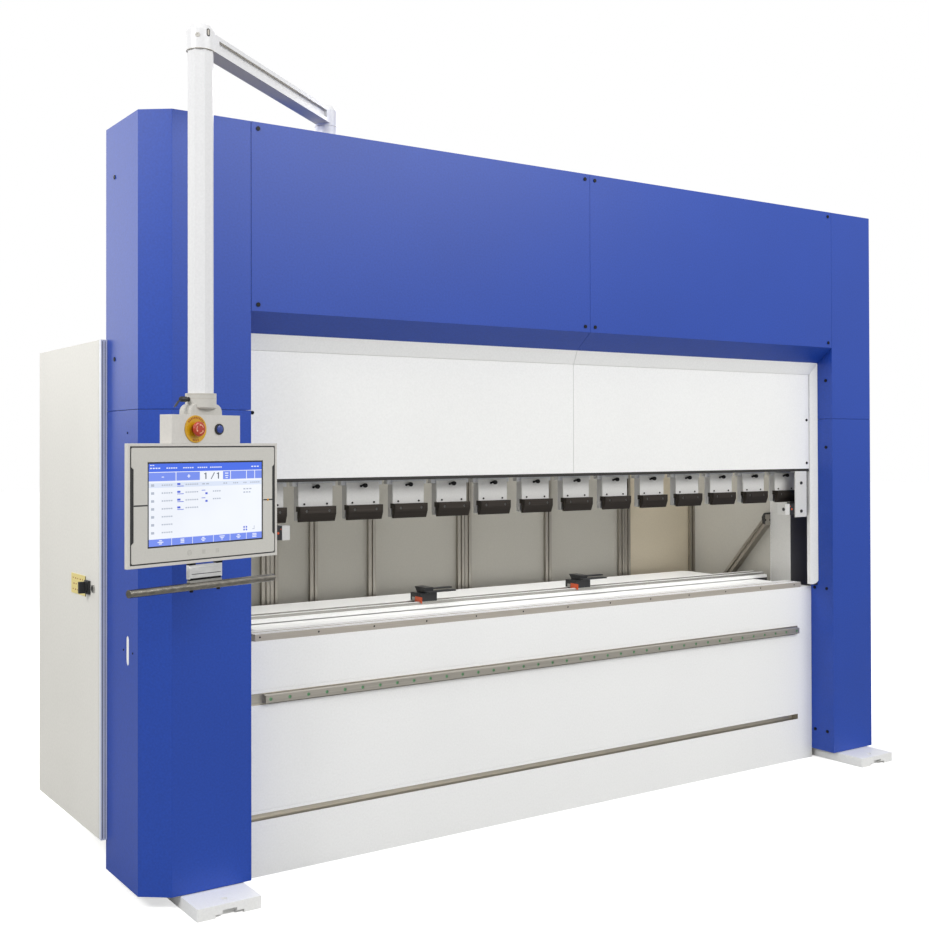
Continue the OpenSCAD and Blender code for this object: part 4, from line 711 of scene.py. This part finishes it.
work = bmesh.new()
top_z = screen_low.z
low_z = bar_z + radius - 1
back_y, clamp_x, half_foot = -11, 56, 13
plate(work, -69, 69, low_z + 12, top_z - 6, back_y, -24, 2, pendant, 0)
plate(work, -66, 66, low_z + 20, top_z - 14, -23, -26.5, 2, pendant, 0)
plate(work, -60, 60, low_z + 27, low_z + 29, -26, -27.3, 0.5, pendant, 2, edge=0.2)
plate(work, -67, 67, low_z, low_z + 8, back_y, -26, 1.5, pendant, 1)
plate(work, -64, 64, low_z + 8, low_z + 15, back_y, -24.5, 1.5, pendant, 2)
for side in (-1, 1):
    x = side * clamp_x
    plate(work, x - half_foot, x + half_foot, top_z - 7, top_z, back_y, -26, 1.5, pendant, 2)
    under_bar = pendant @ Matrix.Translation((x, bar_y, bar_z - radius + 1)) @ Matrix.Rotation(math.pi, 4, "X")
    spin(work, [(4, 0), (6.5, 0), (6.5, 5), (5.5, 6), (2.5, 6), (2.5, 3)], under_bar, 16, 2)
piece(
    "handle_bracket", work, [bracket_zinc, milled_x, black_oxide], "pendant",
    ["screen_handle"],
)
print("handle bar:", round(2 * half_bar), "mm")

# %% [markdown]
# ## Push buttons
# The emergency stop is a red mushroom with a neck, on a round yellow plate. Pale curved
# arrows on its cap show which way it is turned to let go. The start button is a dark
# blue dome in a dark ring. Both are turned parts.

# %% Emergency stop
def round_node(node):
    """Middle x, front y, middle z and radius of a round node on the pendant."""
    low, high = measured(node, pendant)
    return (low.x + high.x) / 2, low.y, (low.z + high.z) / 2, (high.x - low.x) / 2


stop_x, stop_y, stop_z, cap_r = round_node("estop_button")
at_stop = pendant @ facing_front(stop_x, stop_y, stop_z)
work = bmesh.new()
spin(
    work,
    [(14, -34), (14, -15), (15, -12), (cap_r - 4, -11), (cap_r - 0.8, -9.5), (cap_r, -7.5), (cap_r, -4.5),
     (cap_r - 1.2, -2.2), (cap_r - 4, -0.7), (cap_r - 9, -0.1), (cap_r - 15, 0), (1.0, 0)],
    at_stop, 48,
)


def arc_band(work, place, radius_in, radius_out, from_deg, to_deg, low, high, index, steps=8):
    """A flat curved band that lies on a turned face."""
    turns = [math.radians(from_deg + (to_deg - from_deg) * i / steps) for i in range(steps + 1)]
    flat = [on_circle(radius_out, t) for t in turns] + [on_circle(radius_in, t) for t in reversed(turns)]
    skin(work, [[(x, y, low) for x, y in flat], [(x, y, high) for x, y in flat]], place, index)


under, over = -0.4, 0.25
for i in range(3):
    start = 20 + 120 * i
    shaft_end, tip = start + 62, math.radians(start + 84)
    arc_band(work, at_stop, 12.2, 14.8, start, shaft_end, under, over, 1)
    head = [on_circle(r, math.radians(shaft_end)) for r in (9.8, 17.2)] + [on_circle(13.5, tip)]
    skin(work, [[(x, y, z) for x, y in head] for z in (under, over)], at_stop, 1)
piece("stop_mushroom", work, [red_plastic, pale_print], "emergency_stop", ["estop_button"])

_, disc_y, _, disc_r = round_node("estop_disc")
at_disc = pendant @ facing_front(stop_x, disc_y, stop_z)
work = bmesh.new()
for first, count in ((32, 11), (250, 4)):
    for i in range(count):
        start = first + 10.6 * i
        arc_band(work, at_disc, disc_r * 0.76, disc_r * 0.9, start, start + 6, -0.3, 0.25, 0, 3)
piece("stop_disc_marks", work, [rust_print], "pendant")

# %% Start button
start_x, start_y, start_z, start_r = round_node("start_button")
at_start = pendant @ facing_front(start_x, start_y, start_z)
work = bmesh.new()
dome = [(start_r, -20), (start_r, -2.6), (start_r - 1, -1.2), (start_r - 4, -0.3), (start_r - 8, 0), (0.8, 0.1)]
spin(work, dome, at_start, 32)
piece("start_dome", work, [blue_plastic], "start_button", ["start_button"])
work = bmesh.new()
ring = [(start_r + wider, h) for wider, h in ((0.6, -9), (0.6, -4.2), (1.4, -3.4), (3.8, -3.6), (5.0, -5.2), (5.0, -9))]
spin(work, ring, at_start, 32, around=True)
piece("start_ring", work, [black_plastic], "pendant")
print("stop cap:", round(2 * cap_r), "mm, disc:", round(2 * disc_r), "mm")

# %% [markdown]
# ## Clamp lever on the pole
# An adjustable clamp lever of black plastic: a turned hub, and an arm that sweeps down
# and away from it and ends in a rounded grip. The arm is a row of outlines that follow
# a bent line.

# %% Clamp lever
hub_high = measured("pole_lever", pendant)[1]
hub_z = joints["clamp_lever_turn"]["pos_m"][2] * 1000
work = bmesh.new()
outward = pendant @ Matrix.Translation((hub_high.x, 0, hub_z)) @ Matrix.Rotation(math.radians(-90), 4, "Y")
hub = [(5, 0), (7.5, 0), (7.5, 3), (6, 5), (6.5, 8), (9, 11), (9.3, 26), (8.8, 32), (6, 35.5), (2, 36)]
spin(work, hub, outward)
line = [(26, 0, 6.0), (32, -1, 7.5), (40, -6, 7.2), (46, -13, 6.8), (51, -20, 7.2), (54, -24, 6.0), (55, -25.5, 2.5)]
turns = [math.tau * i / 12 for i in range(12)]
bent = [
    [(hub_high.x - out + 0.8 * r * math.cos(t), 0.9 * r * math.sin(t), hub_z + drop + 0.6 * r * math.cos(t))
     for t in turns]
    for out, drop, r in line
]
skin(work, bent, pendant)
piece("pole_clamp_lever", work, [black_plastic], "arm_clamp_lever", ["pole_lever"])

# %% Arm joint details
knuckle_z = measured("pendant_arm", pendant)[0].z
work = bmesh.new()
slot_at = pendant @ Matrix.Rotation(math.radians(-12), 4, "Z")
plate(work, -3, 9, knuckle_z + 40, knuckle_z + 66, -43.0, -46.6, 5.5, slot_at, 0)
plate(work, 0, 6, knuckle_z + 44, knuckle_z + 62, -46, -47.2, 2.5, slot_at, 2)
screw_at = pendant @ Matrix.Rotation(math.radians(-52), 4, "Z") @ facing_front(0, -45.5, knuckle_z + 42)
spin(work, [(8, -1), (8, 1.0), (7, 1.8), (4, 1.8), (3.5, 0.6), (0.6, 0.6)], screw_at, 20, 1)
ring = [(46.6, knuckle_z + 0.5), (46.6, knuckle_z - 0.5), (43.0, knuckle_z - 0.5), (43.0, knuckle_z + 0.5)]
spin(work, ring, pendant, 40, 2, around=True)
piece("arm_joint_marks", work, [black_plastic, cuff_coat, tray_coat], "arm")

work = bmesh.new()
cuff_z = pole_foot_z + 66
for z, r in ((cuff_z, 50.6), (cuff_z - 12, 50.35)):
    spin(work, [(r, z - 1.4), (r, z), (47, z), (47, z - 1.4)], pendant, 40, around=True)
piece("cuff_seams", work, [tray_coat], "pendant")
print("pole foot at z =", round(pole_foot_z))

# %% [markdown]
# ## Clamp screws
# Each tool clamp has a round knob with a neck in the middle, two small cap screws in
# the corners of its plate and two set screws in the dark block. All are turned and
# slightly shiny: the knobs and cap screws black, the set screws grey steel; the cap
# screws have a sunk round socket. One row of screws is one mesh, because the screws
# never move on their own.

# %% Clamp knobs and screws
plate_low, plate_high = measured("clamp_plates", mm_place)
block_low = measured("clamp_blocks", mm_place)[0]
plate_points = [v.co * 1000 for v in nodes["clamp_plates"].data.vertices]
flat_edges = sorted({round(point.x, 1) for point in plate_points if point.z > plate_high.z - 0.5})
clamps = [(a + b) / 2 for a, b in zip(flat_edges[::2], flat_edges[1::2])]
half_clamp = (flat_edges[1] - flat_edges[0]) / 2
work = bmesh.new()
plate_y = plate_low.y
for x in clamps:
    at_knob = mm_place @ facing_front(x, plate_y, plate_high.z - 12)
    spin(work, [(5, -4), (5, 8), (6, 10), (8.6, 13), (9, 15), (9, 22), (8, 24), (5, 24.8)], at_knob, 20)
    at_neck = mm_place @ facing_front(x - 11, plate_y, plate_high.z - 15)
    spin(work, [(4.5, -3), (4.5, 5), (3.5, 6), (1, 6)], at_neck, 14)
    for side in (-1, 1):
        screw_x = x + side * half_clamp * 2 / 3
        at_screw = mm_place @ facing_front(screw_x, plate_y, plate_low.z + 9)
        spin(work, [(2.8, -4), (4.0, 0), (4.0, 2.4), (3.4, 3), (2, 3), (2, 1)], at_screw, 14)
        at_set = mm_place @ facing_front(screw_x, block_low.y, plate_low.z - 18)
        spin(work, [(5.5, -8), (5.5, -2.2), (4.8, -1.6), (3, -1.6), (3, -5)], at_set, 12, 1)
piece("clamp_screws", work, [black_oxide, set_screw_steel], "ram", ["clamp_bolts"])
print("clamps:", len(clamps), "half width", round(half_clamp, 1), "mm")

# %% [markdown]
# ## Light guards
# At each end of the ram a light guard head looks along the tools. It is a moulded black
# housing. Its nose has a pale face, a dark lens sits on the inner side, and two orange
# lamps show in front.

# %% Light guard heads
softened("light_guards", black_plastic, 2.0)
head_low, head_high = measured("light_guards", mm_place)
bracket_low = measured("light_guard_brackets", mm_place)[0]
housing_end, nose_length, face_width = 38, 118, 32
nose = head_high.x - housing_end - nose_length
nose_z0, nose_z1 = head_low.z + 8, head_low.z + 62
face_back, lens_y = -19, -60
work = bmesh.new()
for side in (-1, 1):
    x0, x1_white = sorted((side * (nose - 1), side * (nose + face_width)))
    middle_z = (nose_z0 + nose_z1) / 2
    plate(work, x0, x1_white, nose_z0 - 1, nose_z1 + 1, face_back, bracket_low.y + 4.5, 3, mm_place, 0, edge=1.0)
    inner_side = Matrix.Rotation(math.radians(-90 * side), 4, "Y")
    at_lens = mm_place @ Matrix.Translation((side * (nose - 1), lens_y, middle_z)) @ inner_side
    spin(work, [(9, -1), (9, 1.0), (7.5, 2), (5.5, 2), (5.0, 0.8), (0.6, 1.2)], at_lens, 20, 1)
    for dx, dz, r in ((48, 0, 5), (37, 15, 2.5)):
        at_lamp = mm_place @ facing_front(side * (nose + dx), bracket_low.y + 6, middle_z + dz)
        spin(work, [(r, -1), (r, 1), (r * 0.8, 2.2), (0.6, 2.6)], at_lamp, 16, 2)
piece("light_guard_faces", work, [bracket_coat, black_plastic, orange_label], "ram")
print("light guard heads at x = +-", round(head_high.x - housing_end), "mm")

# %% [markdown]
# ## Small screws and inserts
# Round headed screws close the ends of the ram covers, and smaller ones hold the white
# side plates. The long slot in the lower column cover is a pull: a white plastic liner
# sits behind it. The rear braces end in dark moulded caps, two thin seals run up the
# edge strip beside the cabinet door, and the switch's yellow plate has printed bars.

# %% Screws, pull liners and brace caps
cover_low, cover_high = measured("ram_covers", mm_place)


def round_head(work, x, y, z, radius, index=0):
    """A round headed screw with a sunk socket, on a face that looks to the front."""
    at = mm_place @ facing_front(x, y, z)
    spin(work, [(radius, -1), (radius, radius * 0.25), (radius * 0.75, radius * 0.55), (radius * 0.45, radius * 0.6),
                (radius * 0.4, radius * 0.2)], at, 16, index)


work = bmesh.new()
for side in (-1, 1):
    for z in (cover_low.z + 30, cover_low.z + 252):
        round_head(work, side * (cover_high.x - 18), cover_low.y, z, 7)
piece("cover_end_screws", work, [black_oxide], "ram")

work = bmesh.new()
side_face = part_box("column_covers_lower")[1].x * 1000
pull_z0, pull_z1, half_pull = 835, 957, 24
for side in (-1, 1):
    quarter = math.radians(90 * side)
    outward = mm_place @ Matrix.Translation((side * (side_face - 3), 0, 0)) @ Matrix.Rotation(quarter, 4, "Z")
    plate(work, -9 * side - half_pull, -9 * side + half_pull, pull_z0, pull_z1, 1.0, -0.9, 20, outward, 0)
    for y, z, r in ((31, 894, 4), (-67, 894, 4), (-10, 1679, 4)):
        at_dot = mm_place @ Matrix.Translation((side * side_face, y, z)) @ Matrix.Rotation(quarter, 4, "Y")
        spin(work, [(r, -1), (r, 1), (r * 0.75, 2), (0.6, 2.2)], at_dot, 12, 1)
    for x, y, z in ((1587, -79.5, 1573), (1587, -79.5, 1462)):
        round_head(work, side * x, y, z, 3.5, 2)
piece("column_inserts", work, [white_coat, black_oxide, set_screw_steel], "frame")

work = bmesh.new()
cap, cap_ends = [(221.5, 1262), (231, 1259), (246, 1238), (241, 1204), (221.5, 1198)], (1573.5, 1616)
for side in (-1, 1):
    skin(work, [[(side * x, y, z) for y, z in cap] for x in cap_ends], mm_place)
piece("brace_caps", work, [black_rubber], "frame")

work = bmesh.new()
strip_low, strip_high = measured("cabinet_body", mm_place)
seal_back, seal_front = 213.3, 212.6
for x0, x1 in ((-2032.5, -2030.0), (-2022.5, -2020.5)):
    plate(work, x0, x1, strip_low.z + 6, strip_high.z - 6, seal_back, seal_front, 0.4, mm_place, 0, edge=0.2)
piece("edge_strip_seals", work, [set_screw_steel], "frame")

work = bmesh.new()
label_low, label_high = measured("switch_plate", mm_place)
on_label = mm_place @ Matrix.Translation((label_high.x - 3.0, 0, 0)) @ Matrix.Rotation(math.radians(-90), 4, "Z")
step, line_height, margin = 30, 22, 22
for row in range(3):
    for i in range(5):
        start = label_high.y - margin - step * i - 9 * (row % 2)
        dash, foot = 8 + 5 * ((i + row) % 2), label_low.z + 14 + line_height * row
        plate(work, -start, -start + dash, foot, foot + 5, 0.3, -0.3, 0.5, on_label, 0, edge=0.1)
piece("switch_plate_print", work, [rust_print], "cabinet_door")
print("small screws and inserts: 5 pieces")

# %% [markdown]
# ## Backgauge fingers
# Each finger is a black carriage on the gauge's rails with a bar and two thin blades on
# top. The blades are hardened steel, but they share the carriage's black finish. A small
# orange printed plate and a grey steel plate sit on the carriage's end.

# %% Fingers
for side, body in (("left", "left_finger"), ("right", "right_finger")):
    node = "finger_" + side
    softened(node, finger_black, 1.0)
    low, high = measured(node, mm_place)
    work = bmesh.new()
    turn_left = mm_place @ Matrix.Translation((low.x, 0, 0)) @ Matrix.Rotation(math.radians(-90), 4, "Z")
    print(node, [round(v) for v in low], [round(v) for v in high])
    plate(work, -(low.y + 64), -(low.y + 6), low.z + 5, low.z + 32, 0.2, -0.8, 2, turn_left, 0)
    plate(work, -(low.y + 88), -(low.y + 66), low.z + 10, low.z + 28, 0.2, -0.6, 2, turn_left, 1)
    piece(node + "_label", work, [orange_label, milled_x], body)

# %% [markdown]
# ## Floor, light and camera
# The machine stands on a plain pale floor under soft studio light. A large lamp in front
# and above gives the sheets their sheen, and a weaker one fills the left side. Two more
# light the back, and a strip over the working space reaches the table behind the ram.
# The world lights the rest evenly. Rays that come straight from the camera see a white
# backdrop, so the ground fades away, while the floor keeps the shadow of the machine.

# %% Floor and world
scene = bpy.context.scene
scene.view_settings.view_transform = "Standard"


def seen_directly(tree, in_gloss=1.0):
    """1 for camera and transmission rays, which see the pale backdrop; glossy rays see a share of it."""
    path = add(tree, "ShaderNodeLightPath")
    glossy = add(tree, "ShaderNodeMath", {0: path.outputs["Is Glossy Ray"], 1: in_gloss}, operation="MULTIPLY")
    direct = add(tree, "ShaderNodeMath", {0: path.outputs["Is Camera Ray"], 1: glossy.outputs[0]}, operation="MAXIMUM")
    through = {0: direct.outputs[0], 1: path.outputs["Is Transmission Ray"]}
    return add(tree, "ShaderNodeMath", through, operation="MAXIMUM").outputs[0]


world = bpy.data.worlds.new("studio")
scene.world = world
world.use_nodes = True
world_tree = world.node_tree
backdrop = world_tree.nodes["Background"]
backdrop.inputs["Color"].default_value = linear("FFFFFF")
room_level = 0.5
backdrop_seen = seen_directly(world_tree, 0.7)
strength = add(world_tree, "ShaderNodeMapRange", {"Value": backdrop_seen, "To Min": room_level, "To Max": 1.0})
world_tree.links.new(strength.outputs[0], backdrop.inputs["Strength"])

floor_mesh = bpy.data.meshes.new("floor")
reach = 40.0
corners = [(-reach, -reach, 0), (reach, -reach, 0), (reach, reach, 0), (-reach, reach, 0)]
floor_mesh.from_pydata(corners, [], [(0, 1, 2, 3)])
floor = bpy.data.objects.new("floor", floor_mesh)
scene.collection.objects.link(floor)
floor_paint, floor_tree, floor_shader = new_material("pale_floor_paint")
seen = seen_directly(floor_tree, 0.0)
floor_tint = add(
    floor_tree, "ShaderNodeMix", {"Factor": seen, 6: linear("B6B6B4"), 7: linear("F4F4F2")}, data_type="RGBA"
)
floor_tree.links.new(floor_tint.outputs[2], floor_shader.inputs["Base Color"])
floor_shader.inputs["Emission Color"].default_value = linear("FFFFFF")
floor_glow = add(floor_tree, "ShaderNodeMath", {0: seen, 1: 0.6}, operation="MULTIPLY")
floor_tree.links.new(floor_glow.outputs[0], floor_shader.inputs["Emission Strength"])
floor_shader.inputs["Roughness"].default_value = 0.8
floor_shader.inputs["Specular IOR Level"].default_value = 0.1
floor_mesh.materials.append(floor_paint)

# %% Lamps
middle = (cad_low + cad_high) / 2


def soft_lamp(name, place, size, watts, aim=middle):
    lamp = bpy.data.lights.new(name, "AREA")
    lamp.shape = "RECTANGLE"
    lamp.size, lamp.size_y = size
    lamp.energy = watts
    holder = bpy.data.objects.new(name, lamp)
    holder.location = place
    holder.rotation_euler = (Vector(aim) - Vector(place)).to_track_quat("-Z", "Y").to_euler()
    scene.collection.objects.link(holder)
    return holder


soft_lamp("front_softbox", (2.0, -6.3, 5.9), (6.0, 3.4), 350, (0.3, -0.2, 2.4))
soft_lamp("left_softbox", (-6.5, -1.2, 4.8), (2.5, 2.0), 190, (-1.9, 0.2, 2.4))
soft_lamp("rear_softbox", (1.0, 6.5, 5.0), (4.0, 4.0), 110)
soft_lamp("rear_left_softbox", (-4.6, 6.5, 3.6), (3.0, 3.4), 48, (-2.0, 0.0, 2.2))
soft_lamp("overhead_strip", (0.3, 0.62, 3.3), (3.4, 0.5), 42, (0.3, 0.5, 0.9))
print("lamps: 5")

# %% Camera
eye = Vector((-3.5005, -4.3473, 1.6351))
yaw, pitch, roll = (math.radians(a) for a in (34.27, 0.54, -0.14))
ahead = Vector((math.sin(yaw) * math.cos(pitch), math.cos(yaw) * math.cos(pitch), math.sin(pitch)))
level_right = Vector((math.cos(yaw), -math.sin(yaw), 0))
level_up = level_right.cross(ahead)
right = level_right * math.cos(roll) + level_up * math.sin(roll)
up = right.cross(ahead)
camera = bpy.data.cameras.new("camera")
camera.sensor_width = 36.0
camera.lens = 46.56
camera.shift_y = -0.0446
camera_holder = bpy.data.objects.new("camera", camera)
turn = Matrix((right, up, -ahead)).transposed()
camera_holder.matrix_world = Matrix.Translation(eye) @ turn.to_4x4()
scene.collection.objects.link(camera_holder)
scene.camera = camera_holder
print("camera at", [round(v, 3) for v in eye])
